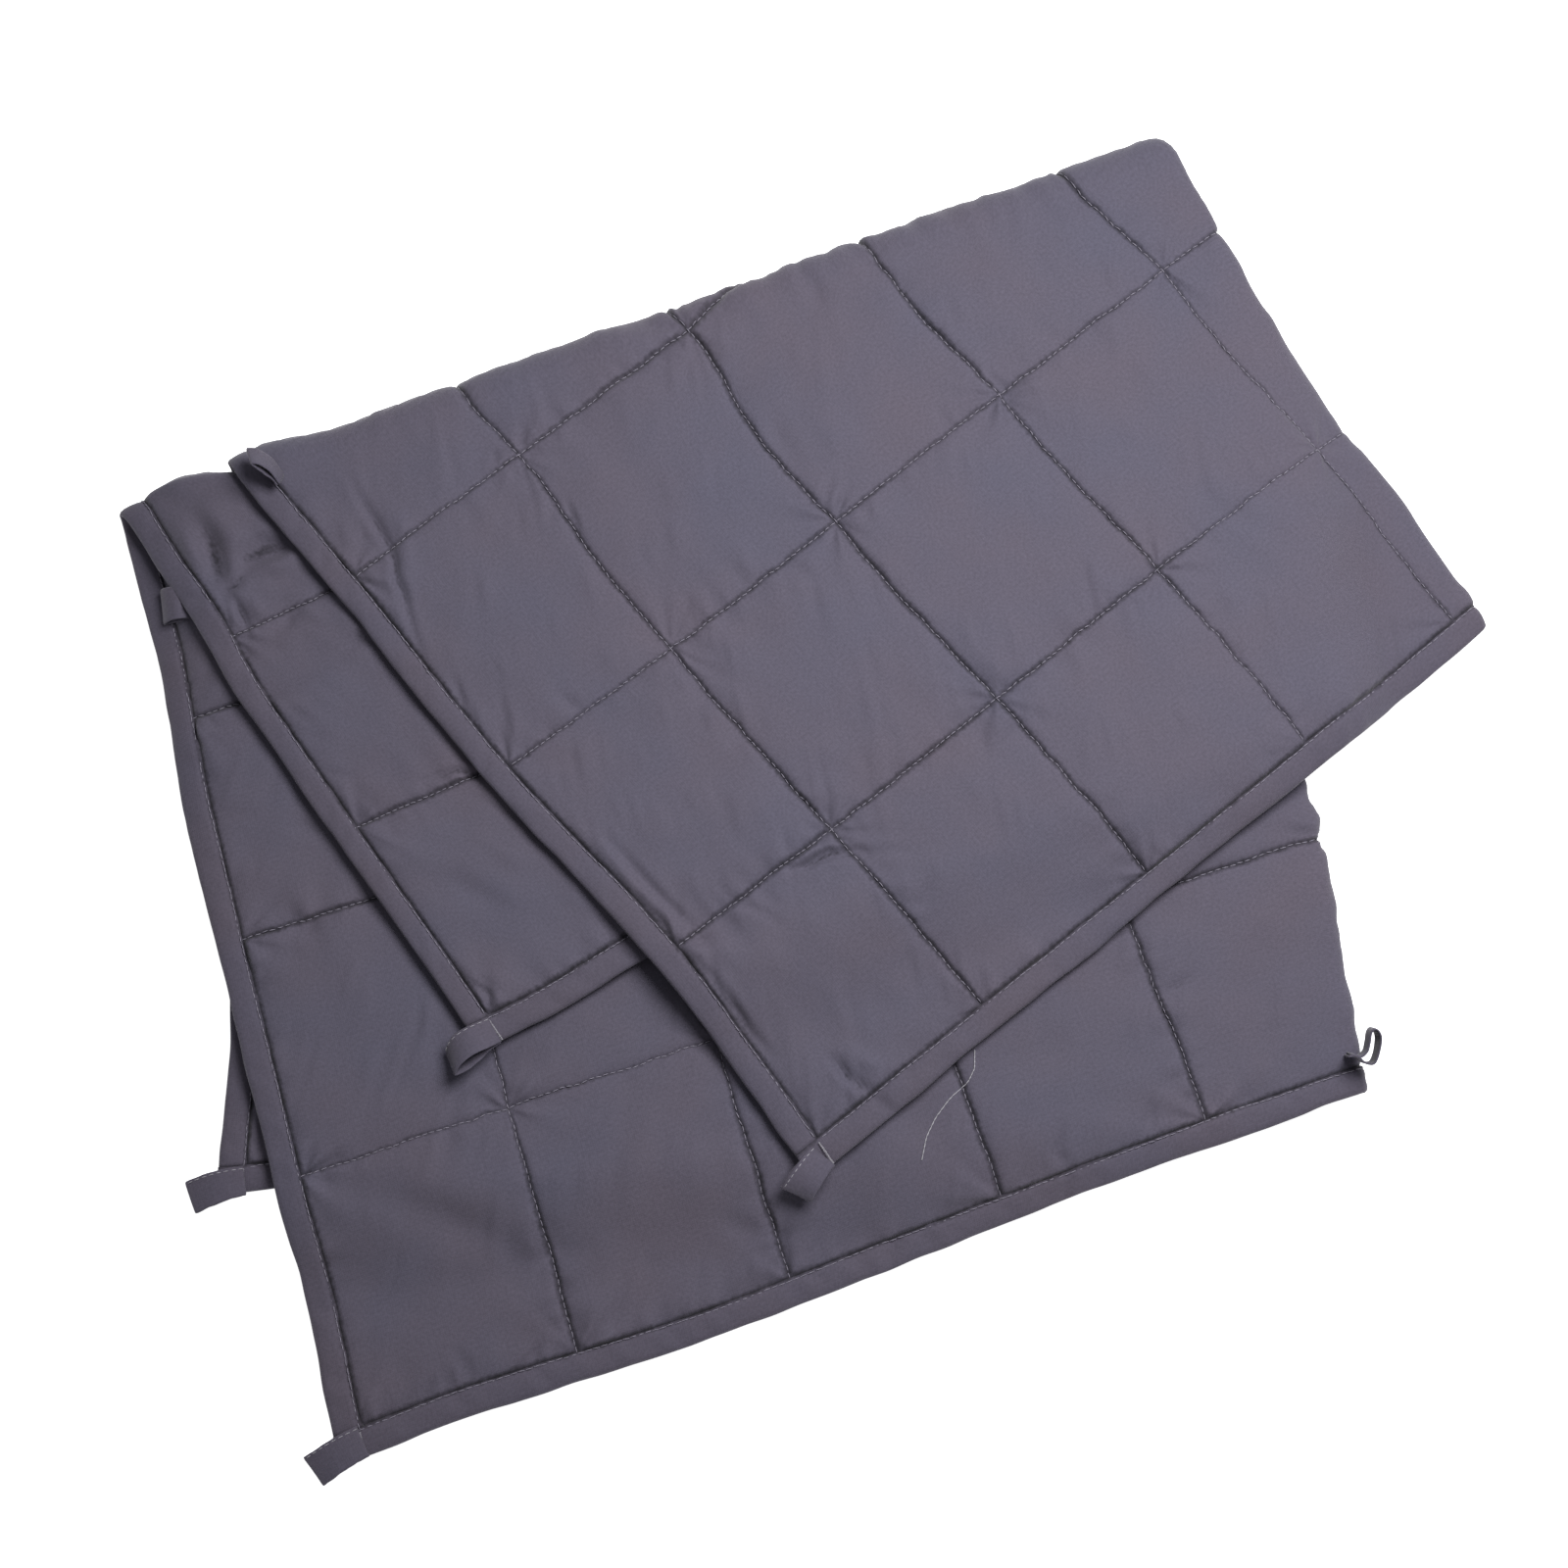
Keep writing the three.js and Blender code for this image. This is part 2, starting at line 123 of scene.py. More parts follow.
# Where the cloth was pulled or pushed as it was laid: place on the flat cloth, reach and shift
SWAYS = [
    ((430, 165), (200, 75), (-7, -4.5)),
    ((409, 60), (40, 35), (2, 1.5)),
    ((408, -5), (25, 25), (2.5, 3)),
    ((220, 214), (200, 60), (-2.5, -2)),
    ((130, 170), (90, 90), (0, -3.5)),
    ((180, 320), (90, 35), (7, 2)),
    ((150, 0), (110, 60), (3, 2)),
    ((0, 100), (60, 85), (6, 4.5)),
    ((0, 395), (40, 30), (-4, 4.2)),
    ((30, 392), (35, 25), (1, -3)),
    ((975, 300), (44, 38), (-2, 12)),
    ((950, 300), (20, 30), (-1, 4)),
    ((975, 235), (50, 35), (6, -1)),
    ((975, 400), (60, 60), (4, 0)),
    ((860, 0), (70, 70), (-3, 13)),
    ((830, 775), (75, 70), (2, -4)),
    ((720, 775), (70, 70), (4, 0)),
    ((610, 775), (100, 70), (4.5, 3)),
    ((505, 650), (60, 70), (4.5, 1)),
    ((0, 710), (30, 40), (2.5, 0)),
    ((-14, 781), (35, 40), (-1.2, -2)),
    ((989, 781), (40, 50), (-2, -3)),
]


def nearness(x, y, place, reach):
    """1 at a place on the flat cloth, falling to 0 past its reach across and along the cloth."""
    across = (x - place[0]) / reach[0]
    along = (y - place[1]) / reach[1]
    return np.exp(-(across**2) - along**2)


def swayed(x, y):
    """How far the cloth lies from where plain straight folds would have put it."""
    moved = np.zeros(x.shape + (2,))
    for place, reach, shift in SWAYS:
        moved += nearness(x, y, place, reach)[..., None] * shift
    return moved


def round_off(distance, radius, bent_radius):
    """Distance from a crease once the cloth bends round it."""
    quarter = QUARTER_TURN * radius
    turned = quarter - bent_radius * np.cos(np.minimum(distance / radius, QUARTER_TURN))
    return np.where(distance >= quarter, distance, turned)


def outline_of(inner, near):
    """Corners of one layer as it lies on the floor."""
    return np.array([CROSSING, CREASE_AT_SIDE[inner], CORNER[inner, near], CREASE_AT_HEM[near]], float)


OUTLINES_FROM_FLOOR = [outline_of(1, 0), outline_of(0, 0), outline_of(0, 1)]


def smoothstep(value, low, high):
    share = np.clip((value - low) / (high - low), 0, 1)
    return share * share * (3 - 2 * share)


def carried(outline, place):
    """1 where a layer holds up what lies above it, falling to 0 past its edges."""
    outside = np.full(place.shape[:-1], -np.inf)
    for start, end in zip(outline, np.roll(outline, -1, axis=0)):
        edge = (end - start) / np.linalg.norm(end - start)
        away = place - start
        outside = np.maximum(outside, away[..., 0] * edge[1] - away[..., 1] * edge[0])
    return 1 - smoothstep(outside, LEDGE, LEDGE + SINK_LENGTH)


def fold(x, y):
    """The middle of the cloth in its folded place."""
    x = np.asarray(x, float)
    y = np.asarray(y, float)
    place, inner, near = lay_flat(x, y)
    first = np.abs(x - first_crease_x(y))
    inward = round_off(first, FIRST_RADIUS, FIRST_RADIUS) - first
    place = place + ALONG_CREASE * inward[..., None]
    turn = np.sin(np.minimum(first / FIRST_RADIUS, QUARTER_TURN))
    bent_radius = SECOND_RADIUS + np.where(inner, 1, -1) * FIRST_RADIUS * turn
    second = (place - CROSSING) @ FROM_CREASE
    inward = round_off(second, SECOND_RADIUS, bent_radius) - second
    place = place + FROM_CREASE * inward[..., None] + swayed(x, y)
    rise = bent_radius * np.sin(np.minimum(second / SECOND_RADIUS, QUARTER_TURN))
    level = MIDDLE_LEVEL + np.where(near, 1, -1) * rise / LAYER_PITCH
    z = np.full(x.shape, FLOOR_TO_MIDDLE)
    for below, outline in enumerate(OUTLINES_FROM_FLOOR):
        z = z + LAYER_PITCH * carried(outline, place) * np.clip(level - below, 0, 1)
    return np.concatenate([place, z[..., None]], axis=-1)


def normalise(vectors):
    return vectors / np.linalg.norm(vectors, axis=-1, keepdims=True)


def normals_at(x, y):
    """Unit normals of the folded cloth, on the side of its front face."""
    step = 0.6
    along_x = fold(x + step, y) - fold(x - step, y)
    along_y = fold(x, y + step) - fold(x, y - step)
    return normalise(np.cross(normalise(along_x), normalise(along_y)))


# Soft unevenness, the same every run
LATTICE = 64


def noise(u, v, seed):
    """Smooth noise from -1 to 1 with features of about one unit."""
    table = np.random.default_rng(seed).uniform(-1, 1, (LATTICE, LATTICE))
    low_u = np.floor(u).astype(int)
    low_v = np.floor(v).astype(int)
    part_u = smoothstep(u - low_u, 0, 1)
    part_v = smoothstep(v - low_v, 0, 1)
    a = table[low_u % LATTICE, low_v % LATTICE]
    b = table[(low_u + 1) % LATTICE, low_v % LATTICE]
    c = table[low_u % LATTICE, (low_v + 1) % LATTICE]
    d = table[(low_u + 1) % LATTICE, (low_v + 1) % LATTICE]
    return (a + (b - a) * part_u) * (1 - part_v) + (c + (d - c) * part_u) * part_v


def edge_distance(x, y):
    """Distance inwards from the cloth's nearest edge."""
    return np.minimum(np.minimum(x, WIDTH - x), np.minimum(y, LENGTH - y))


def seam_distance(lines, at):
    """Distance to the nearest stitch line, the width of the cell, and a number for the seam's side."""
    cell = np.clip(np.searchsorted(lines, at, side="right") - 1, 0, len(lines) - 2)
    width = lines[cell + 1] - lines[cell]
    low = np.clip(at - lines[cell], 0, None)
    high = np.clip(lines[cell + 1] - at, 0, None)
    side = np.where(low < high, 2 * cell, 2 * cell + 1)
    return np.minimum(low, high), width, side


# Creases in each face: path on the flat cloth, width, height, a trough where it is negative, and how dark a
# line of painted shade its bottom gets, if it is sharp
FRONT_CREASES = [
    ([(30, 366), (25, 350), (22, 328), (12, 306), (3, 281)], 2.0, -1.9, 0.75),
    ([(34, 352), (31, 330), (22, 308)], 5, 1.0),
    ([(7, 263), (0, 246)], 1.8, -1.2, 0.4),
    ([(102, 296), (99, 282)], 1.6, -1.3, 0.4),
    ([(90, 262), (98, 254)], 1.8, -1.2),
    ([(197, 222), (210, 232)], 1.8, -1.4, 0.5),
    ([(188, 233), (197, 224)], 1.8, -1.3, 0.5),
    ([(197, 216), (207, 221)], 1.8, -1.2, 0.3),
    ([(207, 270), (203, 255), (201, 243)], 4, -0.9),
    ([(270, 228), (265, 213)], 2.0, -1.0),
    ([(163, 216), (171, 198)], 3, -0.9),
    ([(365, 128), (360, 119), (354, 106)], 1.7, -1.0, 0.3),
    ([(372, 124), (367, 112)], 1.8, -0.9),
    ([(334, 122), (338, 107), (346, 90), (351, 66)], 5, -0.9),
    ([(69, 100), (75, 98), (82, 97), (89, 95), (95, 92), (101, 87)], 1.9, -3.2, 0.9),
    ([(72, 104), (82, 102), (91, 99), (99, 93)], 2.4, 1.8),
    ([(103, 84), (119, 74)], 2.2, -1.0),
    ([(98, 56), (107, 53), (118, 57)], 2.2, -1.6, 0.4),
    ([(98, 66), (110, 63)], 3, 0.9),
    ([(7, 75), (3, 63), (1, 53)], 2.2, -1.6, 0.5),
    ([(26, 24), (29, 9), (32, -1)], 2.2, -2.6, 0.8),
    ([(34, 24), (42, 6)], 3.4, 1.6),
    ([(6, 168), (5, 140), (5, 108), (6, 90)], 3.0, 1.4),
    ([(10, 160), (10, 120), (12, 95)], 2.4, -1.2, 0.3),
    ([(4, 93), (3, 70), (5, 42)], 2.4, -1.6, 0.5),
    ([(38, 103), (43, 94), (46, 84)], 2.2, -1.2),
    ([(48, 105), (51, 90)], 2.2, -0.9),
    ([(40, 227), (44, 214)], 2.2, -1.2),
    ([(371, 284), (378, 260)], 4, -1.2),
    ([(384, 276), (390, 258)], 3, -0.9),
    ([(352, 285), (345, 262)], 4, -1.0),
    ([(286, 307), (289, 298), (293, 288)], 3.4, -1.3),
    ([(262, 318), (257, 296)], 4, -1.2),
    ([(318, 304), (322, 290)], 3, -1.2),
    ([(335, 296), (338, 286)], 3, -1.2),
    ([(357, 258), (351, 238)], 3, -0.6),
    ([(415, 180), (405, 150), (398, 120)], 12, -0.7),
    ([(140, 40), (160, 62), (180, 70)], 9, -0.7),
    ([(230, 60), (250, 80), (262, 96)], 9, -0.7),
    ([(970, 444), (963, 452)], 2.4, -1.4, 0.4),
    ([(960, 672), (927, 695), (900, 716), (889, 738)], 8, -2.0),
    ([(967, 652), (974, 666)], 2, -1.2),
    ([(929, 758), (926, 772)], 2, -1.9, 0.4),
    ([(934, 765), (936, 776)], 1.8, -1.6, 0.4),
    ([(942, 766), (949, 775)], 2, -1.6, 0.3),
    ([(893, 766), (906, 776)], 2, -1.6, 0.4),
    ([(881, 718), (882, 731), (888, 737)], 2.2, -1.7, 0.5),
    ([(901, 604), (906, 623), (915, 645)], 1.8, 0.7),
    ([(736, 712), (747, 744)], 7, -1.2),
    ([(652, 754), (658, 765), (654, 774)], 2.2, -1.9, 0.4),
    ([(611, 758), (617, 773)], 2.4, -1.6),
    ([(587, 714), (572, 708)], 2.6, -1.7, 0.5),
    ([(972, 494), (954, 498)], 3, -1.0),
    ([(941, 508), (928, 516)], 3, -1.0),
    ([(803, 738), (788, 753)], 4, -0.9),
    ([(700, 690), (712, 720), (708, 748)], 8, -0.9),
    ([(520, 700), (545, 722), (560, 750)], 10, -1.2),
]
BACK_CREASES = [
    ([(957, 268), (959, 257), (963, 248), (969, 240)], 5.4, -5.0, 0.9),
    ([(951, 241), (949, 246), (940, 247), (923, 245)], 5.0, -5.0, 0.9),
    ([(966, 266), (967, 252)], 4, 1.6),
    ([(945, 238), (932, 237), (918, 236)], 4.6, 2.2),
    ([(971, 234), (960, 237), (951, 242)], 2.2, -2.7, 0.8),
    ([(969, 231), (965, 231), (966, 223), (967, 212)], 2.0, -2.4, 0.8),
    ([(958, 228), (957, 216)], 3.0, 1.5),
    ([(973, 291), (955, 286), (936, 286)], 3.4, 2.2),
    ([(966, 277), (945, 276)], 2.8, -1.2, 0.3),
    ([(932, 184), (919, 186), (910, 180)], 2.6, -1.7, 0.4),
    ([(968, 185), (941, 183), (924, 185)], 5, -1.2),
    ([(932, 110), (918, 109), (902, 100)], 2.2, -2.2, 0.8),
    ([(974, 17), (968, 9), (972, -2)], 2, -1.8, 0.5),
    ([(954, 207), (940, 211)], 3.4, -1.4),
    ([(973, 152), (960, 149)], 2.2, -1.5, 0.3),
    ([(973, 131), (962, 127)], 2.2, -1.4, 0.3),
    ([(970, 70), (950, 60), (935, 40)], 7, -1.4),
    ([(20, 700), (30, 680), (28, 650)], 5, -1.2),
    ([(3, 738), (16, 730)], 2.2, -1.4, 0.3),
]
# Width of a sharp crease's painted shade line, as a share of the crease's width
LINE_SHARE = 0.6
LIP_OFFSET = 2.0
LIP_SHARE = 0.22
CREASE_MARGIN = 4
CREASE_DRIFT = 0.7
DRIFT_LENGTH = 9
TAPER_START = 0.12
TAPER_POWER = 1.3


def distance_to_path(x, y, path):
    """Distance to a path of straight pieces, and how far along it the nearest place is, 0 to 1."""
    lengths = np.linalg.norm(np.diff(path, axis=0), axis=1)
    before = np.concatenate([[0.0], np.cumsum(lengths)])
    nearest = np.full(x.shape, np.inf)
    along = np.zeros(x.shape)
    for number, (start, end) in enumerate(zip(path[:-1], path[1:])):
        step = end - start
        share = ((x - start[0]) * step[0] + (y - start[1]) * step[1]) / lengths[number] ** 2
        share = np.clip(share, 0, 1)
        distance = np.hypot(x - start[0] - share * step[0], y - start[1] - share * step[1])
        closer = distance < nearest
        nearest = np.where(closer, distance, nearest)
        along = np.where(closer, (before[number] + share * lengths[number]) / before[-1], along)
    return nearest, along


def creased(x, y, creases, seed):
    """Height of the creases, which have a low lip on both sides, and the strength of the painted shade lines
    at their bottoms.
    """
    height = np.zeros(x.shape)
    painted_line_shade = np.zeros(x.shape)
    for number, (path, width, rise, *painted_line_strength) in enumerate(creases):
        path = np.array(path, float)
        margin = CREASE_MARGIN * width
        here = (x > path[:, 0].min() - margin) & (x < path[:, 0].max() + margin)
        here &= (y > path[:, 1].min() - margin) & (y < path[:, 1].max() + margin)
        if not here.any():
            continue
        near_x = x[here]
        near_y = y[here]
        drift = CREASE_DRIFT * noise(near_x / DRIFT_LENGTH + number, near_y / DRIFT_LENGTH, seed)
        distance, along = distance_to_path(near_x + drift, near_y - drift, path)
        tapered = np.clip(TAPER_START + (1 - 2 * TAPER_START) * along, 0, 1)
        taper = np.sin(np.pi * tapered) ** TAPER_POWER
        reach = distance / width
        profile = np.exp(-(reach**2)) - LIP_SHARE * np.exp(-((reach - LIP_OFFSET) ** 2))
        height[here] += rise * taper * profile
        # Painted shade: a dark line down the bottom of a sharp crease
        if painted_line_strength:
            line = painted_line_strength[0] * taper * np.exp(-((reach / LINE_SHARE) ** 2))
            painted_line_shade[here] = np.maximum(painted_line_shade[here], line)
    return height, painted_line_shade


# Where the seams of each face are drawn less tightly: place on the flat cloth, reach, and share lost
FRONT_LOOSE = [
    ((395, 90), (70, 130), 0.75),
    ((290, 30), (60, 60), 0.4),
    ((60, 215), (60, 40), 0.4),
    ((60, 328), (70, 40), 0.4),
    ((250, 214), (90, 30), 0.3),
    ((930, 664), (80, 40), 0.45),
    ((800, 664), (90, 30), 0.5),
    ((700, 664), (90, 30), 0.4),
]
BACK_LOOSE = [((940, 214), (50, 30), 0.3)]
LEAST_TIGHT = 0.15


def tightness(x, y, loose):
    """How tightly the seams hold the cloth down, 1 where they are fully tight."""
    tight = np.ones(x.shape)
    for place, reach, share in loose:
        tight -= share * nearness(x, y, place, reach)
    return np.clip(tight, LEAST_TIGHT, 1)


SEAM_WANDER = 0.6
WANDER_LENGTH = 7.0
WANDER_CHANGE = 60
STEADY_TO = 2
WANDERS_FROM = 30


def stitched_place(x, y):
    """The middle of the folded cloth, its seams a little crooked."""
    amount = SEAM_WANDER * smoothstep(edge_distance(x, y), STEADY_TO, WANDERS_FROM)
    sideways = amount * noise(y / WANDER_LENGTH, x / WANDER_CHANGE, 900)
    lengthways = amount * noise(x / WANDER_LENGTH, y / WANDER_CHANGE, 901)
    return fold(x + sideways, y + lengthways)


FACES = {
    1: {"creases": FRONT_CREASES, "loose": FRONT_LOOSE, "seed": 100},
    -1: {"creases": BACK_CREASES, "loose": BACK_LOOSE, "seed": 200},
}
# How the filling rises from its seams; the row seams pull it down a little less
FILL_RISE = 1.7
FILL_REACH = 1.5
ROW_PULL = 0.9
CROWN_RISE = 1.4
CROWN_POWER = 4
THINNEST = 0.5
# Gathers along the seams, fine to large: length along the seam, change from seam to seam, length across, how
# far they reach into the cell, and height
PUCKERS = [
    (3.6, 5.3, 14, 5, 2.2),
    (8.5, 7.1, 30, 11, 2.4),
    (19, 2.9, 60, 20, 1.4),
]
PUCKER_START = 1.6
# How their strength varies along the seams
STRENGTH_MEAN = 0.55
STRENGTH_SPREAD = 0.6
STRENGTH_LEAST = 0.15
STRENGTH_LENGTH = 34
STRENGTH_CHANGE = 3.7
# Wrinkles round the places where two seams cross
WRINKLE_HEIGHT = 2.6
WRINKLE_START = 4
WRINKLE_REACH = 18
WRINKLE_RAYS = 3.2
WRINKLE_MIDDLE = 3.5
WRINKLE_CHANGES = (7, 5)
# Unevenness of the filling: length and height of two sizes of swelling, and slanting streaks, which come in
# patches where the middling swellings are high
BROAD_SWELLING = (40, 0.8)
MIDDLING_SWELLING = (15, 0.5)
STREAK_WIDTH = 4.5
STREAK_LENGTH = 32
STREAK_HEIGHT = 0.7
STREAK_SLANT = 0.6
STREAK_PATCHES = (-0.2, 0.7)
CREASE_AT_SEAM = 0.25
# How the painted shade down in the seams looks, drawn as dark lines
SHADE_REACH = 2.4
NO_PAINTED_SHADE_PAST = 1.6 * SHADE_REACH
ROW_LIGHTER = 0.2
EDGE_PAINTED_SHADE = 0.3
LOOSE_LIGHTER = 1.6


def puckers(along, distance, side, seed):
    """Gathers across a seam: fine ones beside it and larger ones that reach into the cell."""
    vary = noise(along / STRENGTH_LENGTH, side * STRENGTH_CHANGE, seed + 5)
    amount = np.clip(STRENGTH_MEAN + STRENGTH_SPREAD * vary, STRENGTH_LEAST, None)
    total = 0
    for number, (length, change, breadth, reach, height) in enumerate(PUCKERS):
        wave = noise(along / length, side * change + distance / breadth, seed + number)
        total = total + height * (wave * np.exp(-distance / reach))
    return (1 - np.exp(-distance / PUCKER_START)) * amount * total


def crossing_gathers(x, y, seed):
    """Wrinkles that run out from the places where two seams cross, other ones at each crossing."""
    column = COLUMN_LINES[np.abs(x[..., None] - COLUMN_LINES).argmin(axis=-1)]
    row = ROW_LINES[np.abs(y[..., None] - ROW_LINES).argmin(axis=-1)]
    angle = np.arctan2(y - row, x - column)
    distance = np.hypot(x - column, y - row)
    u = WRINKLE_MIDDLE + WRINKLE_RAYS * np.cos(angle) + column / WRINKLE_CHANGES[0]
    v = WRINKLE_MIDDLE + WRINKLE_RAYS * np.sin(angle) + row / WRINKLE_CHANGES[1]
    faded = WRINKLE_HEIGHT * noise(u, v, seed) * np.exp(-distance / WRINKLE_REACH)
    return faded * (1 - np.exp(-distance / WRINKLE_START))


def unevenness(x, y, seed):
    """Soft swellings of the filling, and streaks in patches."""
    broad_length, broad_height = BROAD_SWELLING
    middling_length, middling_height = MIDDLING_SWELLING
    broad = noise(x / broad_length, y / broad_length, seed + 30)
    middling = noise(x / middling_length, y / middling_length, seed + 31)
    across = (x - STREAK_SLANT * y) / STREAK_WIDTH
    along = (STREAK_SLANT * x + y) / STREAK_LENGTH
    streaks = noise(across, along, seed + 32) * smoothstep(middling, *STREAK_PATCHES)
    return broad_height * broad + middling_height * middling + STREAK_HEIGHT * streaks


def half_thickness(x, y, side):
    """From the middle of the cloth to one of its faces."""
    face = FACES[side]
    seed = face["seed"]
    from_column, column_width, column_side = seam_distance(COLUMN_LINES, x)
    from_row, row_length, row_side = seam_distance(ROW_LINES, y)
    tight = tightness(x, y, face["loose"])

    def risen(distance, pull):
        return 1 - pull * tight * np.exp(-distance / FILL_REACH)

    def swell(distance, width):
        return 1 - (1 - 2 * distance / width) ** CROWN_POWER

    fill = risen(from_column, 1) * risen(from_row, ROW_PULL)
    crown = np.sqrt(swell(from_column, column_width) * swell(from_row, row_length))
    height = SEAM_THICKNESS / 2 + FILL_RISE * fill + CROWN_RISE * crown
    height = height + tight * puckers(y, from_column, column_side, seed)
    height = height + tight * puckers(x, from_row, row_side, seed + 10)
    height = height + fill * crossing_gathers(x, y, seed + 20)
    height = height + fill * unevenness(x, y, seed)
    creases = creased(x, y, face["creases"], seed + 40)[0]
    height = height + (CREASE_AT_SEAM + (1 - CREASE_AT_SEAM) * fill) * creases
    return np.maximum(height, THINNEST)


def from_painted_shade(x, y, side):
    """Distance from the painted shade at the bottom of a seam or sharp crease, as it looks, in millimetres.
    """
    face = FACES[side]
    from_column = seam_distance(COLUMN_LINES, x)[0]
    from_row = seam_distance(ROW_LINES, y)[0]
    tight = tightness(x, y, face["loose"])
    # Painted shade: lighter at the row seams and where the seams are loose
    distance = np.minimum(from_column, from_row + ROW_LIGHTER) + LOOSE_LIGHTER * (1 - tight)
    # Painted shade a little darker along the cloth's edges, where the quilt meets the bands
    distance = np.minimum(distance, edge_distance(x, y) - EDGE_PAINTED_SHADE)
    painted_line_shade = creased(x, y, face["creases"], face["seed"] + 40)[1]
    return np.minimum(distance, NO_PAINTED_SHADE_PAST * (1 - painted_line_shade))


# Lines of the quilt's grid: share of even spacing, and how they crowd towards the stitch lines
EVENNESS = 0.35
GRADING_POWER = 2.0


def graded_lines(lines, counts):
    """Lines over every cell, closer together near the stitch lines."""
    found = [lines[:1]]
    for low, high, count in zip(lines[:-1], lines[1:], counts):
        half = count // 2
        share = np.arange(1, half + 1) / half
        share = 0.5 * (EVENNESS * share + (1 - EVENNESS) * share**GRADING_POWER)
        from_low = low + (high - low) * share
        from_high = high - (high - low) * share[-2::-1]
        found.append(np.concatenate([from_low, from_high, [high]]))
    return np.concatenate(found)


# A distance far enough that a piece gets no painted shade
FAR_FROM_SEAM = 99.0


def new_object(name, data):
    thing = bpy.data.objects.new(name, data)
    bpy.context.scene.collection.objects.link(thing)
    return thing


def make_object(name, points, faces, material, cloth=None, seam=None):
    """A piece from points in millimetres, their X and Y on the flat cloth, and their distance to the painted
    shade that darkens the material.
    """
    points = points.reshape(-1, 3) + SHIFT
    points[:, 2] = np.maximum(points[:, 2], 0)
    cloth = np.zeros((len(points), 2)) if cloth is None else np.stack(cloth, axis=-1).reshape(-1, 2)
    seam = np.full(len(points), FAR_FROM_SEAM) if seam is None else seam.ravel()
    mesh = bpy.data.meshes.new(name)
    mesh.from_pydata((points * MM).tolist(), [], faces)
    mesh.polygons.foreach_set("use_smooth", np.ones(len(faces), bool))
    corners = np.empty(len(mesh.loops), int)
    mesh.loops.foreach_get("vertex_index", corners)
    mesh.uv_layers.new(name="cloth").data.foreach_set("uv", (cloth[corners] * MM).ravel())
    mesh.attributes.new("painted_shade_distance", "FLOAT", "POINT").data.foreach_set("value", seam)
    mesh.materials.append(material)
    mesh.update()
    piece = new_object(name, mesh)
    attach(piece, BODY)
    return piece


def grid_faces(rows, columns, closed=False):
    """Quads of a grid of points, row by row; closed joins each row's last point to its first."""
    row = np.arange(rows - 1)[:, None] * columns
    column = np.arange(columns if closed else columns - 1)[None, :]
    following = (column + 1) % columns
    quads = [row + column, row + following, row + columns + following, row + columns + column]
    return np.stack(quads, axis=-1).reshape(-1, 4)


def tube_faces(rows, columns, flipped=False):
    """Faces of a tube of rings of points, with both its ends closed."""
    faces = grid_faces(rows, columns, closed=True).tolist()
    faces.append(list(range(columns))[::-1])
    faces.append(list(range((rows - 1) * columns, rows * columns)))
    return [face[::-1] for face in faces] if flipped else faces


# Materials: the cloth's surface, its noises with their scale per metre and detail, painted seam shade, lint
# and weave
CLOTH_SURFACE = {"Roughness": 0.86, "Specular IOR Level": 0.25, "Sheen Weight": 0.1, "Sheen Roughness": 0.45}
NOISE_RANGE = (0.25, 0.75)
TINT = (14, 3)
TINT_RANGE = (0.3, 0.7)
SPECKLE = (760, 2)
SPECKLE_SHADES = (0.86, 1.14)
RAGGED = (420, 2)
RAGGED_REACH = (-0.8, 0.8)
# Painted shade in the seams and sharp creases: the distances where it is darkest and where it ends, and its
# darkest share of the colour
PAINTED_SHADE_RANGE = (0.2, SHADE_REACH)
SEAM_SHADE = 0.3
LINT = {"Scale": 42}
LINT_SIZE = (0.012, 0.02)
LINT_CHOSEN = 0.72
LINT_BRIGHTNESS = 2.2
WEAVE = {"Scale": 320, "Distortion": 1.5, "Detail": 1, "Detail Scale": 2}
WEAVE_BUMP = {"Strength": 0.35, "Distance": 0.12 * MM}
CRUMPLE = (150, 4)
CRUMPLE_BUMP = {"Strength": 0.32, "Distance": 0.45 * MM}
THREAD_SURFACE = {"Roughness": 0.7}
THREAD_TWIST = {"Scale": 900}
THREAD_SHADES = (0.55, 1.3)


def add_node(tree, kind, inputs, **settings):
    """Outputs of a new shader node. Its inputs are values, or outputs of other nodes to link."""
    node = tree.nodes.new("ShaderNode" + kind)
    for name, value in settings.items():
        setattr(node, name, value)
    set_inputs(tree, node, inputs)
    return node.outputs


def set_inputs(tree, node, inputs):
    for name, value in inputs.items():
        if isinstance(value, bpy.types.NodeSocket):
            tree.links.new(value, node.inputs[name])
        else:
            node.inputs[name].default_value = value


def calculated(tree, operation, *values):
    return add_node(tree, "Math", dict(enumerate(values)), operation=operation)["Value"]


def ranged(tree, value, source, target):
    names = ("Value", "From Min", "From Max", "To Min", "To Max")
    return add_node(tree, "MapRange", dict(zip(names, (value, *source, *target))))["Result"]


def ramped(tree, value, colours, positions=(0, 1)):
    node = tree.nodes.new("ShaderNodeValToRGB")
    for element, colour, position in zip(node.color_ramp.elements, colours, positions):
        element.position = position
        element.color = (*colour, 1)
    tree.links.new(value, node.inputs["Fac"])
    return node.outputs["Color"]


def new_material(name, surface):
    material = bpy.data.materials.new(name)
    material.use_nodes = True
    shader = material.node_tree.nodes["Principled BSDF"]
    set_inputs(material.node_tree, shader, surface)
    return material, material.node_tree, shader


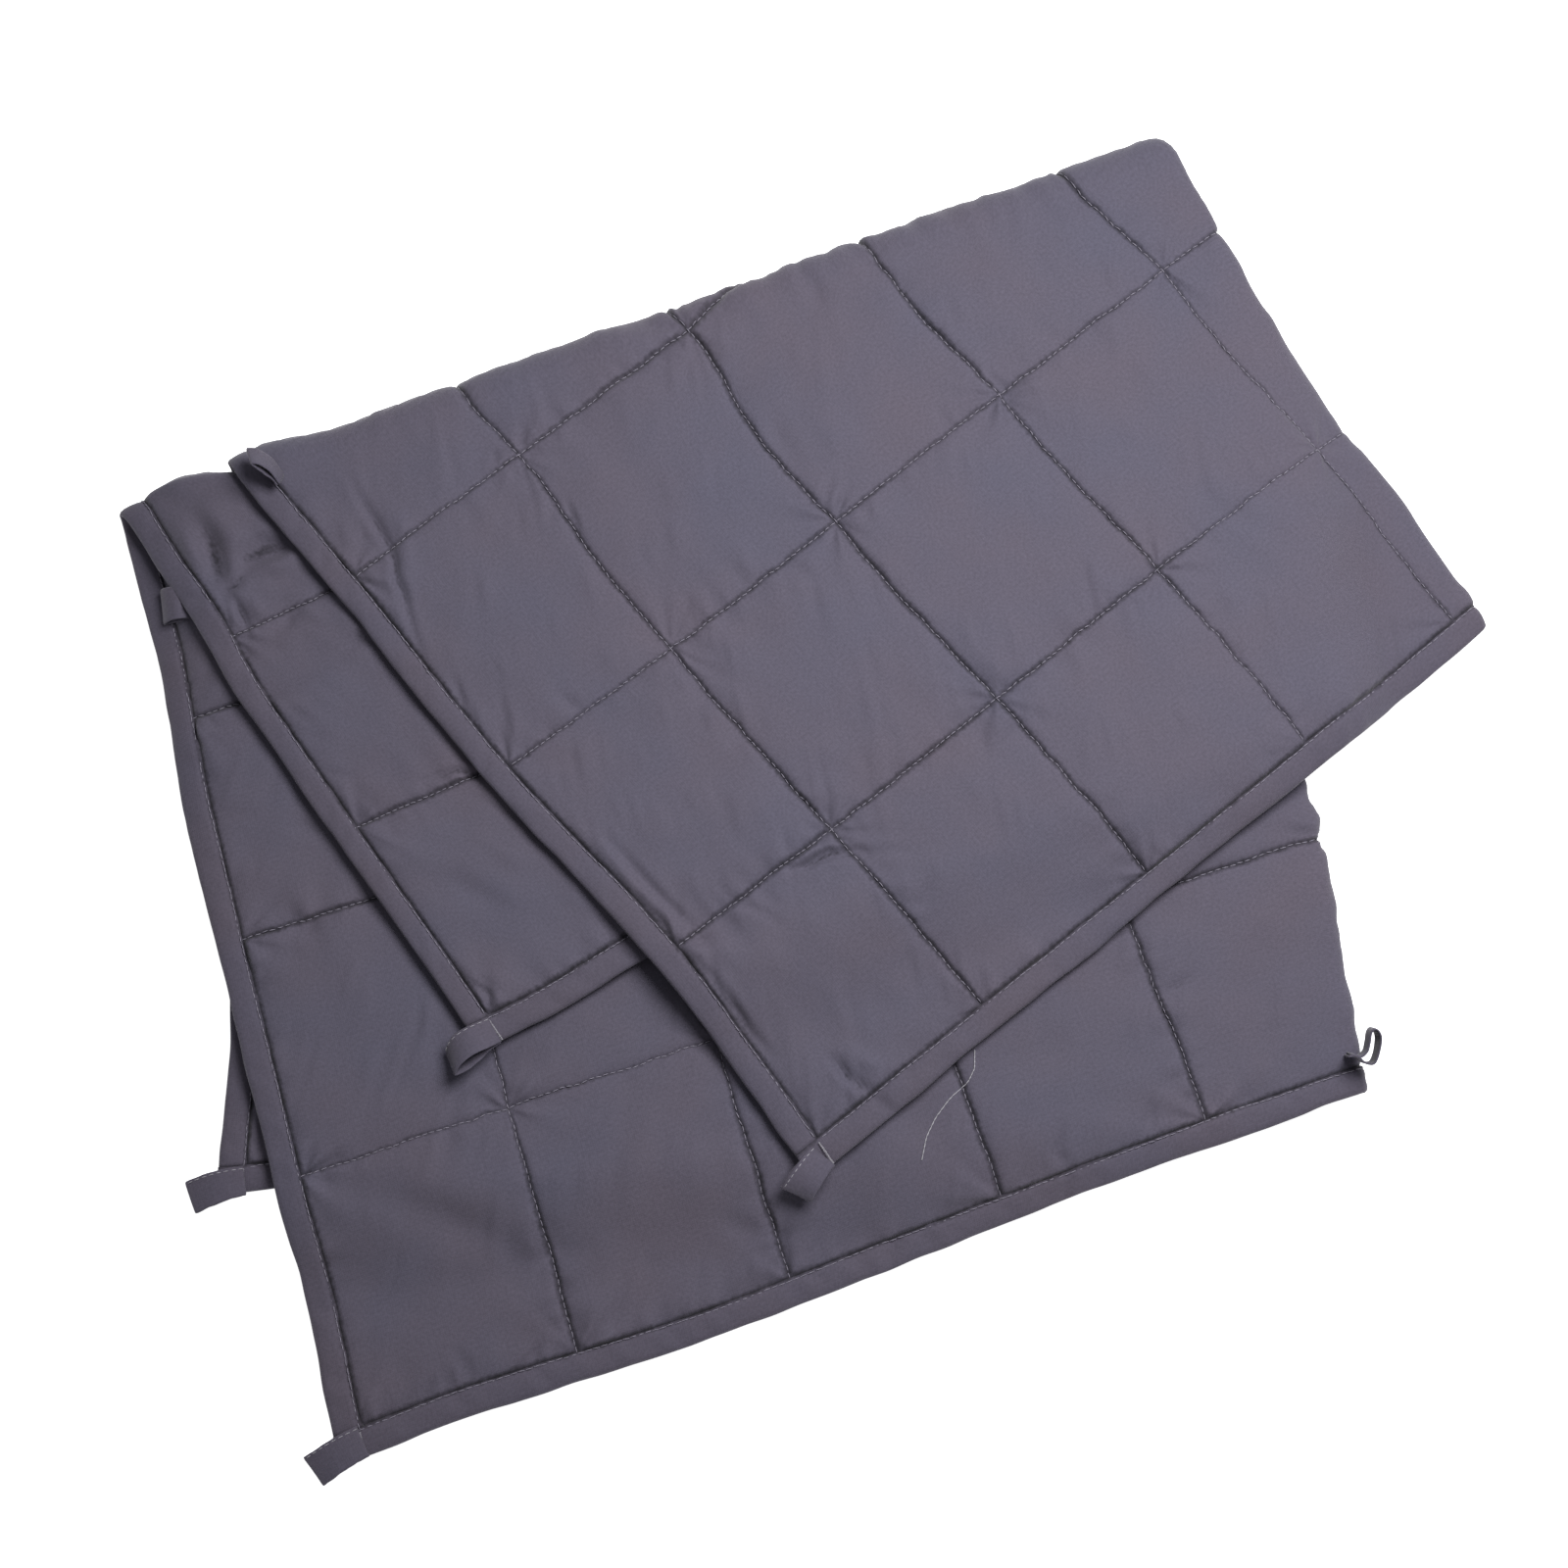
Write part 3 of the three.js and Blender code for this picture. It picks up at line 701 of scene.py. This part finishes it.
def cloth_material(name, warm, cool):
    """Fine plain weave with a little tint, grain and lint, and painted shade down in its seams and creases.
    """
    material, tree, shader = new_material(name, CLOTH_SURFACE)
    place = add_node(tree, "UVMap", {}, uv_map="cloth")["UV"]
    tint, grain, ragged, crumple = (
        add_node(tree, "TexNoise", {"Vector": place, "Scale": scale, "Detail": detail})["Fac"]
        for scale, detail in (TINT, SPECKLE, RAGGED, CRUMPLE)
    )
    # Painted shade: darker the nearer a seam's or sharp crease's bottom, its edge made ragged by noise
    depth = add_node(tree, "Attribute", {}, attribute_name="painted_shade_distance")["Fac"]
    reach = calculated(tree, "ADD", depth, ranged(tree, ragged, NOISE_RANGE, RAGGED_REACH))
    shade = ranged(tree, reach, PAINTED_SHADE_RANGE, (SEAM_SHADE, 1))
    speckle = ranged(tree, grain, NOISE_RANGE, SPECKLE_SHADES)
    shaded = calculated(tree, "MULTIPLY", speckle, shade)
    lint = add_node(tree, "TexVoronoi", {"Vector": place, **LINT})
    chosen = calculated(tree, "GREATER_THAN", lint["Color"], LINT_CHOSEN)
    bright = calculated(tree, "MULTIPLY", ranged(tree, lint["Distance"], LINT_SIZE, (1, 0)), chosen)
    lit = calculated(tree, "MULTIPLY_ADD", bright, LINT_BRIGHTNESS, shaded)
    colour = ramped(tree, tint, (cool, warm), TINT_RANGE)
    colour = add_node(tree, "VectorMath", {0: colour, "Scale": lit}, operation="SCALE")["Vector"]
    threads = [
        add_node(tree, "TexWave", {"Vector": place, **WEAVE}, bands_direction=direction)["Fac"]
        for direction in ("X", "Y")
    ]
    weave = calculated(tree, "MULTIPLY", *threads)
    fine = add_node(tree, "Bump", {"Height": weave, **WEAVE_BUMP})["Normal"]
    soft = add_node(tree, "Bump", {"Height": crumple, "Normal": fine, **CRUMPLE_BUMP})["Normal"]
    set_inputs(tree, shader, {"Base Color": colour, "Normal": soft})
    return material


def thread_material(name, colour):
    """Twisted thread, darker and lighter by turns."""
    material, tree, shader = new_material(name, THREAD_SURFACE)
    place = add_node(tree, "TexCoord", {})["Object"]
    twist = add_node(tree, "TexNoise", {"Vector": place, **THREAD_TWIST})["Fac"]
    shades = [[shade * part for part in colour] for shade in THREAD_SHADES]
    set_inputs(tree, shader, {"Base Color": ramped(tree, twist, shades)})
    return material


QUILT_CLOTH = cloth_material("quilt_cloth", (0.0735, 0.063, 0.085), (0.0665, 0.0622, 0.089))
BINDING_CLOTH = cloth_material("binding_cloth", (0.069, 0.0585, 0.0785), (0.063, 0.0575, 0.082))
THREAD = thread_material("thread", (0.19, 0.175, 0.22))
TACK_THREAD = thread_material("tack_thread", (0.3, 0.29, 0.32))

# The quilt: each face in two pieces that meet along a seam, finest where the cloth shows
MEETING_ROW = 4
LAST_ROW = len(ROW_LENGTHS)
QUILT_PIECES = [
    {"name": "quilt_front_near", "side": 1, "rows": (0, MEETING_ROW),
     "column_counts": [62] * 5 + [40] + [20] * 4, "row_counts": [58, 58, 58, 50]},
    {"name": "quilt_front_far", "side": 1, "rows": (MEETING_ROW, LAST_ROW),
     "column_counts": [16] * 4 + [40] + [54] * 5, "row_counts": [58, 62, 62]},
    {"name": "quilt_back_near", "side": -1, "rows": (0, MEETING_ROW),
     "column_counts": [20] * 4 + [40, 44, 44, 44, 50, 54], "row_counts": [48, 50, 50, 44]},
    {"name": "quilt_back_far", "side": -1, "rows": (MEETING_ROW, LAST_ROW),
     "column_counts": [44, 40, 20, 20, 40, 40] + [16] * 4, "row_counts": [40, 44, 44]},
]
SURVEY_STEPS = 300


def quilt_piece(piece):
    """One face of the quilt between two row seams."""
    first, last = piece["rows"]
    side = piece["side"]
    xs = graded_lines(COLUMN_LINES, piece["column_counts"])
    ys = graded_lines(ROW_LINES[first : last + 1], piece["row_counts"])
    x, y = np.meshgrid(xs, ys)
    points = stitched_place(x, y) + side * normals_at(x, y) * half_thickness(x, y, side)[..., None]
    faces = grid_faces(len(ys), len(xs))
    if side < 0:
        faces = faces[:, ::-1]
    # Distance to the painted shade, for the material
    seam = from_painted_shade(x, y, side)
    sheet = make_object(piece["name"], points, faces.tolist(), QUILT_CLOTH, (x, y), seam)
    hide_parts("quilt")
    return sheet


def find_shift():
    """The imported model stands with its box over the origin; the map's own origin is elsewhere."""
    low, high = (np.array(corner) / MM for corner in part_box("quilt"))
    x, y = np.meshgrid(np.linspace(0, WIDTH, SURVEY_STEPS), np.linspace(0, LENGTH, SURVEY_STEPS))
    points = fold(x, y).reshape(-1, 3)
    own = (points.min(axis=0) + points.max(axis=0)) / 2
    return np.array([*((low + high) / 2 - own)[:2], 0.0])


SHIFT = find_shift()
quilt_pieces = [quilt_piece(piece) for piece in QUILT_PIECES]

# Bindings. Section of the folded band: distance out from the stitch line, and height from its middle
BAND_TOP = [
    (-0.5, 0.6), (-0.45, 1.3), (-0.1, 1.75), (0.5, 1.8), (1.1, 1.75), (1.9, 2.15), (3.4, 2.4), (6.4, 2.35),
    (9.4, 2.2), (11.4, 1.7), (12.3, 0.8),
]
BAND_EDGE = (BINDING_WIDTH, 0.0)
BAND_SECTION = np.array([*BAND_TOP, BAND_EDGE, *[(out, -height) for out, height in reversed(BAND_TOP)]])
BAND_STEP = 1.7
# The hem bands run on over the corners, and the side bands end just short of them
HEM_OVERRUN = 12.3
SIDE_OVERRUN = -0.3
# How the outer and inner edges stray: height and length of each wave, and where they fade in
LONG_WAVE = (0.6, 38)
SHORT_WAVE = (0.35, 13)
OUTER_FADE = (6, 12)
INNER_WAVE = (0.45, 5)
INNER_FADE = (-1.5, 0.3)
# Ripples on the bands: height, length along, slant, length across, and where in the noise they start
RIPPLES = [
    (0.24, 6, 9, 7, 3),
    (0.2, 17, -12, 16, 9),
]
RIPPLE_CHANGE = 3
TUCK_LEAN = 0.35
TUCK_HEIGHT = 2.2
# Painted shade on a band, darkest at its inner edge beside the stitch line and fading out from it
BAND_PAINTED_SHADE_START = 1.0
# Tucks across the bands: where along the band, which face, width along it and depth
BANDS = [
    {"name": "side_band_1", "node": "side_binding_1", "along_x": False, "outward": -1,
     "tucks": [(272, 1, 2.5, 1.1), (262, 1, 4, -0.5), (330, 1, 4, 0.6)]},
    {"name": "side_band_2", "node": "side_binding_2", "along_x": False, "outward": 1,
     "tucks": [(238, -1, 2.6, 1.2), (230, -1, 4, -0.5), (268, -1, 2, 0.8)]},
    {"name": "hem_band_1", "node": "hem_binding_1", "along_x": True, "outward": -1,
     "tucks": [(31, 1, 3, 1.2), (44, 1, 5, -0.4)]},
    {"name": "hem_band_2", "node": "hem_binding_2", "along_x": True, "outward": 1,
     "tucks": [(655, 1, 2.6, 1.3), (737, 1, 3, 1.3), (743, 1, 4, -0.5), (617, 1, 3, 0.7)]},
]


def band_wander(run, out, face, seed):
    """How far the edges of a band stray outwards."""

    def wave(size, level, seed):
        height, length = size
        return height * noise(run / length, level, seed)

    level = np.zeros_like(run)
    outer = wave(LONG_WAVE, level, seed) + wave(SHORT_WAVE, level, seed + 3)
    inner = wave(INNER_WAVE, face, seed + 4)
    return outer * smoothstep(out, *OUTER_FADE) + inner * smoothstep(-out, *INNER_FADE)


def band_height(run, out, height, tucks, seed):
    """Height of a band's faces with their ripples and tucks."""
    face = np.sign(height)
    ripple = 0
    for number, (rise, length, slant, breadth, start) in enumerate(RIPPLES, 1):
        v = face * RIPPLE_CHANGE + out / breadth + start
        ripple = ripple + rise * noise(run / length + out / slant, v, seed + number)
    shrink = np.ones(run.shape)
    for place, side, width, depth in tucks:
        lean = place + TUCK_LEAN * out
        shrink -= depth / TUCK_HEIGHT * np.exp(-(((run - lean) / width) ** 2)) * (face == side)
    return height * (1 + ripple) * shrink


def band(row, seed):
    """A bound edge. outward is 1 or -1, the way it points across the cloth."""
    along_x = row["along_x"]
    outward = row["outward"]
    extent, breadth, overrun = (WIDTH, LENGTH, HEM_OVERRUN) if along_x else (LENGTH, WIDTH, SIDE_OVERRUN)
    along = np.linspace(-overrun, extent + overrun, int((extent + 2 * overrun) / BAND_STEP) + 1)
    run, out = np.meshgrid(along, BAND_SECTION[:, 0], indexing="ij")
    height = np.broadcast_to(BAND_SECTION[:, 1], run.shape)
    stitch_line = breadth if outward > 0 else 0
    across = stitch_line + outward * (out + band_wander(run, out, np.sign(height), seed))
    x, y = (run, across) if along_x else (across, run)
    height = band_height(run, out, height, row["tucks"], seed)
    points = fold(x, y) + normals_at(x, y) * height[..., None]
    faces = tube_faces(*run.shape, flipped=(outward > 0) == along_x)
    # Painted shade on the band next to its stitch line
    seam = out + BAND_PAINTED_SHADE_START
    piece = make_object(row["name"], points, faces, BINDING_CLOTH, (x, y), seam)
    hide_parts(row["node"])
    return piece


bands = [band(row, 300 + 10 * number) for number, row in enumerate(BANDS)]

# Stitches, each a short arched thread from one needle hole to the next
STITCH_PITCH = 3.35
STITCH_LENGTH = 2.55
BAND_STITCH_LENGTH = 3.0
STITCH_RISE = 0.3
THREAD_RADIUS = 0.26
STITCH_SIDES = 4
STITCH_STATIONS = np.array([0.0, 0.5, 1.0])
STITCH_SWELL = np.array([0.55, 1.0, 0.55])
STITCH_LIFT = 0.12
BAND_STITCH_HEIGHT = 1.85
BAND_LINE_OUT = 0.6
# How unevenly the stitches lie along and across their line, and how the line strays
ALONG_JITTER = 0.25
ACROSS_JITTER = 0.22
LINE_WANDER = 0.35
LINE_WANDER_LENGTH = 24


def thread_dashes(starts, ends, lifts, radius=THREAD_RADIUS, rise=STITCH_RISE):
    """Tubes from starts to ends, arched along lifts, as points and faces."""
    stations = STITCH_STATIONS[None, :, None]
    centre = starts[:, None] * (1 - stations) + ends[:, None] * stations
    arch = np.sin(np.pi * STITCH_STATIONS)[None, :, None] * rise
    centre = centre + arch * lifts[:, None]
    forward = normalise(ends - starts)
    across = normalise(np.cross(forward, lifts))[:, None, None]
    up = np.cross(across[:, 0, 0], forward)[:, None, None]
    turn = (np.arange(STITCH_SIDES) * 2 * math.pi / STITCH_SIDES)[None, None, :, None]
    ring = np.cos(turn) * across + np.sin(turn) * up
    points = centre[:, :, None] + ring * STITCH_SWELL[None, :, None, None] * radius
    one = grid_faces(len(STITCH_STATIONS), STITCH_SIDES, closed=True)
    per = len(STITCH_STATIONS) * STITCH_SIDES
    faces = (np.arange(len(starts))[:, None, None] * per + one[None]).reshape(-1, 4)
    return points.reshape(-1, 3), faces


def seam_stitches(fixed, extent, along_x, on_band, side, seed):
    """One row of stitches along a stitch line, on one face of the blanket."""
    jitter = np.random.default_rng(seed)
    count = int(extent / STITCH_PITCH)
    start = (np.arange(count) + 0.5) * STITCH_PITCH + jitter.uniform(-ALONG_JITTER, ALONG_JITTER, count)
    wander = LINE_WANDER * noise(start / LINE_WANDER_LENGTH, np.zeros(count), seed + 7)
    ends = []
    for at in (start, start + (BAND_STITCH_LENGTH if on_band else STITCH_LENGTH)):
        across = fixed + wander + jitter.uniform(-ACROSS_JITTER, ACROSS_JITTER, count)
        x, y = (at, across) if along_x else (across, at)
        height = BAND_STITCH_HEIGHT if on_band else (half_thickness(x, y, side) + STITCH_LIFT)[..., None]
        normal = side * normals_at(x, y)
        ends.append(stitched_place(x, y) + normal * height)
    return thread_dashes(ends[0], ends[1], normal)


def stitch_lines():
    """Stitch lines: place across the cloth, extent, whether it runs along X, and whether it is on a band."""
    found = []
    for lines, extent, along_x in ((COLUMN_LINES, LENGTH, False), (ROW_LINES, WIDTH, True)):
        for number, fixed in enumerate(lines):
            outward = {0: -1, len(lines) - 1: 1}.get(number, 0)
            found.append((fixed + BAND_LINE_OUT * outward, extent, along_x, outward != 0))
    return found


def join_parts(parts):
    """One set of points and faces from several."""
    points, faces = zip(*parts)
    starts = np.cumsum([0, *map(len, points)])
    return np.concatenate(points), np.concatenate([own + start for own, start in zip(faces, starts)])


# A loose end of thread on the cloth: its path on the flat cloth
LOOSE_THREAD = [(676, 708), (679, 716), (684, 721), (694, 725), (703, 731), (710, 738), (715, 746)]
LOOSE_THREAD_STEPS = 24
LOOSE_THREAD_LIFT = 0.3


def loose_thread():
    at = np.linspace(0, len(LOOSE_THREAD) - 1, LOOSE_THREAD_STEPS)
    x, y = (np.interp(at, np.arange(len(LOOSE_THREAD)), values) for values in zip(*LOOSE_THREAD))
    normal = normals_at(x, y)
    centre = fold(x, y) + normal * (half_thickness(x, y, 1) + LOOSE_THREAD_LIFT)[..., None]
    points, faces = thread_dashes(centre[:-1], centre[1:], normal[:-1], radius=0.36, rise=0.02)
    return make_object("loose_thread", points, faces.tolist(), TACK_THREAD)


def stitched(name, side):
    """All the stitches on one face of the blanket."""
    seed = FACES[side]["seed"] + 50
    parts = [seam_stitches(*line, side, seed + number) for number, line in enumerate(stitch_lines())]
    points, faces = join_parts(parts)
    return make_object(name, points, faces.tolist(), THREAD)


stitches = [stitched("stitches_front", 1), stitched("stitches_back", -1), loose_thread()]

# Loops of doubled tape: root, bend and tip before SHIFT, widths and turns in degrees at root and tip, how far
# the plies stand open, and how far the tip leans aside, in degrees
PLY = 0.95
CORNER_TAPES = [
    {"name": "corner_tape_1", "node": "corner_loop_1", "widths": (13, 15), "rolls": (4, -14), "open": 2.6,
     "root": (17.4, -173.5, 24.7), "bend": (10.6, -182.2, 26.0), "tip": (5.6, -189.4, 23.2)},
    {"name": "corner_tape_2", "node": "corner_loop_2", "widths": (13, 15), "rolls": (2, 40), "open": 6.5,
     "root": (-130.2, -117.4, 25.0), "bend": (-140.2, -124.2, 27.0), "tip": (-149.0, -132.2, 24.0)},
    {"name": "corner_tape_3", "node": "corner_loop_3", "widths": (14, 15.5), "rolls": (0, 0), "open": 1.2,
     "root": (-186.3, -297.3, 5.9), "bend": (-197.6, -303.4, 5.8), "tip": (-207.5, -310.3, 3.0)},
    {"name": "corner_tape_4", "node": "corner_loop_4", "widths": (13, 15), "rolls": (0, 4), "open": 1.4,
     "root": (-243.5, -183.7, 5.9), "bend": (-255.5, -186.4, 6.2), "tip": (-267.7, -191.0, 3.0)},
]
SIDE_TAPES = [
    {"name": "side_tape_1", "node": "side_loop_1", "widths": (9, 14), "rolls": (60, 46), "open": 1.9,
     "root": (-233.6, 136.4, 38.0), "bend": (-239.4, 142.0, 43.5), "tip": (-246.2, 145.0, 46.0),
     "skew": 24},
    {"name": "side_tape_2", "node": "side_loop_2", "widths": (15, 16.5), "rolls": (0, -6), "open": 3.6,
     "root": (-276.5, 84.0, 14.4), "bend": (-285.0, 83.2, 15.2), "tip": (-292.2, 82.6, 10.6)},
]
HEM_TAPE = {
    "name": "hem_tape", "node": "hem_loop", "middle": 23.4, "width": 14.5, "across": (-0.08, -0.13, 0.98),
    "path": [
        (252.5, -129.0), (256.0, -128.6), (259.5, -131.4), (263.4, -132.0), (265.4, -128.4), (267.0, -122.0),
        (266.7, -118.4), (264.9, -116.7), (263.2, -118.2), (262.2, -122.6), (260.8, -126.6), (257.8, -129.0),
        (253.5, -127.8),
    ],
}
# Half of a tape's section: share of the half width, and share of the half thickness
TAPE_TOP = [(-1, 0.25), (-0.97, 0.75), (-0.85, 1), (-0.3, 0.9), (0.3, 0.9), (0.85, 1), (0.97, 0.75),
            (1, 0.25)]
TAPE_SECTION = np.array([*TAPE_TOP, *[(share, -thick) for share, thick in reversed(TAPE_TOP)]])
TAPE_STEPS = 26
TIP_STEPS = 7
TIP_REACH = 0.6
PLY_GAP = 0.05
OPENING_LEAN = 1.3
OPENING_FULLNESS = 0.8
HEM_TAPE_STEPS = 60
# Unevenness of a tape's faces and edges: height, length in steps, change across the tape, and start
FACE_BUCKLE = (0.28, 5, 1.3, 5)
EDGE_BUCKLE = (0.035, 4, 2, 5)


def between(ends, share):
    """A value between those at the root and the tip."""
    return ends[0] + (ends[1] - ends[0]) * share


def buckled(size, along, across, seed):
    height, length, change, start = size
    return height * noise(along / length, across * change + start, seed)


def ribbon(path, across, widths, seed):
    """A closed ribbon along a path, with rounded edges and slightly uneven faces, as points and faces."""
    tangent = normalise(np.gradient(path, axis=0))
    out = normalise(np.cross(tangent, across))
    share = TAPE_SECTION[:, 0][None]
    thick = TAPE_SECTION[:, 1][None] * PLY / 2
    along = np.arange(len(path), dtype=float)[:, None]
    buckle = buckled(FACE_BUCKLE, along, share, seed)
    edge = 1 + buckled(EDGE_BUCKLE, along, np.sign(share), seed + 1)
    points = path[:, None] + across[:, None] * (share * edge * widths[:, None] / 2)[..., None]
    points = points + out[:, None] * (thick + buckle)[..., None]
    return points, tube_faces(*points.shape[:2])


def tape_curve(row, count):
    """Places along the middle of a loop, directions along, across and out of it, and share of the way."""
    share = np.linspace(0, 1, count)[:, None]
    root, bend, tip = (np.array(row[key], float) for key in ("root", "bend", "tip"))
    control = 2 * bend - (root + tip) / 2
    place = (1 - share) ** 2 * root + 2 * share * (1 - share) * control + share**2 * tip
    along = normalise(np.gradient(place, axis=0))
    level = normalise(np.cross(np.array([0, 0, 1.0]), along))
    up = np.cross(along, level)
    roll = np.radians(between(row["rolls"], share))
    across = level * np.cos(roll) + up * np.sin(roll)
    out = up * np.cos(roll) - level * np.sin(roll)
    skew = np.radians(row.get("skew", 0) * share)
    across = across * np.cos(skew) - along * np.sin(skew)
    return place, along, across, out, share


def tape_opening(row, share):
    """How far each ply stands off from the middle of a loop."""
    return row["open"] / 2 * np.sin(np.pi * share**OPENING_LEAN) ** OPENING_FULLNESS


def tape_object(row, path, across, widths, seed):
    points, faces = ribbon(path, across, widths, seed)
    length = np.linalg.norm(np.diff(path, axis=0), axis=1).sum()
    run = np.linspace(0, length, len(path))
    side = TAPE_SECTION[:, 0] * widths.max() / 2
    cloth = np.meshgrid(run, side, indexing="ij")
    piece = make_object(row["name"], points, faces, BINDING_CLOTH, cloth)
    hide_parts(row["node"])
    return piece


def tape_loop(row, seed):
    """A tape that goes out, turns over at the tip and comes back."""
    place, along, across, out, share = tape_curve(row, TAPE_STEPS)
    near = PLY / 2 + PLY_GAP
    gap = near + tape_opening(row, share)
    turn = np.linspace(-QUARTER_TURN, QUARTER_TURN, TIP_STEPS)[1:-1, None]
    tip = place[-1] + along[-1] * np.cos(turn) * PLY * TIP_REACH + out[-1] * np.sin(turn) * near
    path = np.concatenate([place - out * gap, tip, (place + out * gap)[::-1]])
    tip_across = np.repeat(across[-1:], len(turn), axis=0)
    spread = np.concatenate([across, tip_across, across[::-1]])
    width = between(row["widths"], share)[:, 0]
    widths = np.concatenate([width, np.full(len(turn), width[-1]), width[::-1]])
    return tape_object(row, path, spread, widths, seed)


def smooth_path(points, count):
    """Even steps along a smooth curve through points."""
    points = np.array(points, float)
    at = np.linspace(0, len(points) - 1, count)
    low = np.clip(np.floor(at).astype(int), 0, len(points) - 2)
    part = (at - low)[:, None]
    padded = np.concatenate([2 * points[:1] - points[1:2], points, 2 * points[-1:] - points[-2:-1]])
    a, b, c, d = (padded[low + step] for step in range(4))
    square = (2 * a - 5 * b + 4 * c - d) * part**2
    cube = (3 * b - a - 3 * c + d) * part**3
    return 0.5 * (2 * b + (c - a) * part + square + cube)


def standing_loop(row, seed):
    """The tape at the hem, which stands on its edge, open like a drop."""
    flat_path = smooth_path(row["path"], HEM_TAPE_STEPS)
    path = np.column_stack([flat_path, np.full(len(flat_path), row["middle"])])
    across = np.repeat(normalise(np.array(row["across"]))[None], len(path), axis=0)
    return tape_object(row, path, across, np.full(len(path), row["width"]), seed)


tapes = [tape_loop(row, 400 + number) for number, row in enumerate([*CORNER_TAPES, *SIDE_TAPES])]
tapes.append(standing_loop(HEM_TAPE, 420))

# Bar tacks that hold the corner tapes down, and the stitches along one edge of each corner tape
TACK_LENGTH = 10.5
TACK_PITCH = 0.45
TACK_HALF_WIDTH = 0.42
TACK_JITTER = 0.12
TACK_HEIGHT = 3.75
TACK_OUT = 0.6
TACK_START = 1.8
# The corners as ways out from the middle of the cloth, from the top layer down
CORNERS = [(-1, -1), (1, -1), (1, 1), (-1, 1)]
TAPE_STITCH_ENDS = 17
TAPE_STITCH_INSET = 1.1
TAPE_STITCH_LIFT = 0.15
TAPE_STITCH_LONGER = 0.3


def bar_tack(outward, onward, seed):
    """Close stitches across the hem band at the corner that lies outward and onward from the middle."""
    jitter = np.random.default_rng(seed)
    run = np.arange(0, TACK_LENGTH, TACK_PITCH)
    y = max(onward, 0) * LENGTH + onward * TACK_START + onward * run
    ends = []
    for reach in (-TACK_HALF_WIDTH, TACK_HALF_WIDTH):
        uneven = jitter.uniform(-TACK_JITTER, TACK_JITTER, len(run))
        x = max(outward, 0) * WIDTH + outward * TACK_OUT + reach + uneven
        normal = outward * onward * normals_at(x, y)
        ends.append(fold(x, y) + normal * TACK_HEIGHT)
    return thread_dashes(ends[0], ends[1], normal, radius=0.24, rise=0.12)


def tape_stitches(row):
    """Stitches along one edge of a loop's upper ply."""
    place, _, across, out, share = tape_curve(row, TAPE_STITCH_ENDS)
    half_width = between(row["widths"], share) / 2 - TAPE_STITCH_INSET
    lift = PLY + TAPE_STITCH_LIFT + tape_opening(row, share)
    edge = place - across * half_width + out * lift
    starts, ends, onward = edge[:-1:2], edge[1::2], edge[2::2]
    ends = ends + TAPE_STITCH_LONGER * (onward - ends)
    return thread_dashes(starts, ends, out[:-1:2], radius=0.22, rise=0.1)


def tack_stitches():
    parts = [bar_tack(*corner, 500 + number) for number, corner in enumerate(CORNERS)]
    parts += [tape_stitches(row) for row in CORNER_TAPES]
    points, faces = join_parts(parts)
    return make_object("tack_stitches", points, faces.tolist(), TACK_THREAD)


tacks = tack_stitches()

# Floor, light and camera, in metres
FLOOR_REACH = 12
FLOOR_DROP = 0.0002
FLOOR_SURFACE = {
    "Base Color": (0.88, 0.88, 0.885, 1), "Roughness": 0.9, "Specular IOR Level": 0.1,
    "Emission Color": (1, 1, 1, 1), "Emission Strength": 0.85,
}
WORLD_LIGHT = {"Color": (0.97, 0.98, 1.0, 1), "Strength": 0.3}
LIGHT_PLACE = (0.28, 0.26, 0.87)
LIGHT_SIZE = 0.5
LIGHT_POWER = 14.4
ELEVATION = math.radians(79)
DISTANCE = 1.103
LENS_MM = 54
SENSOR_MM = 36


def stage_floor():
    """A wide bright floor, a little lower than the blanket so that the two don't touch."""
    mesh = bpy.data.meshes.new("floor")
    points = [(x * FLOOR_REACH, y * FLOOR_REACH, -FLOOR_DROP) for x, y in CORNERS]
    mesh.from_pydata(points, [], [(0, 1, 2, 3)])
    mesh.materials.append(new_material("floor", FLOOR_SURFACE)[0])
    floor = new_object("floor", mesh)


def set_world():
    world = bpy.data.worlds.new("studio")
    world.use_nodes = True
    set_inputs(world.node_tree, world.node_tree.nodes["Background"], WORLD_LIGHT)
    bpy.context.scene.world = world


def set_light():
    """A round lamp high up, a little behind and to the right, aimed at the middle of the blanket."""
    light = bpy.data.lights.new("key", "AREA")
    light.shape = "DISK"
    light.size = LIGHT_SIZE
    light.energy = LIGHT_POWER
    lamp = new_object("key", light)
    lamp.location = LIGHT_PLACE
    lamp.rotation_euler = (-Vector(LIGHT_PLACE)).to_track_quat("-Z", "Y").to_euler()


def set_camera():
    data = bpy.data.cameras.new("camera")
    data.lens = LENS_MM
    data.sensor_width = SENSOR_MM
    camera = new_object("camera", data)
    target = Vector(SHIFT * MM)
    away = Vector((0, -math.cos(ELEVATION), math.sin(ELEVATION)))
    camera.location = target + away * DISTANCE
    camera.rotation_euler = (QUARTER_TURN - ELEVATION, 0, 0)
    bpy.context.scene.camera = camera


stage_floor()
set_world()
set_light()
bpy.context.scene.view_settings.view_transform = "Standard"
set_camera()
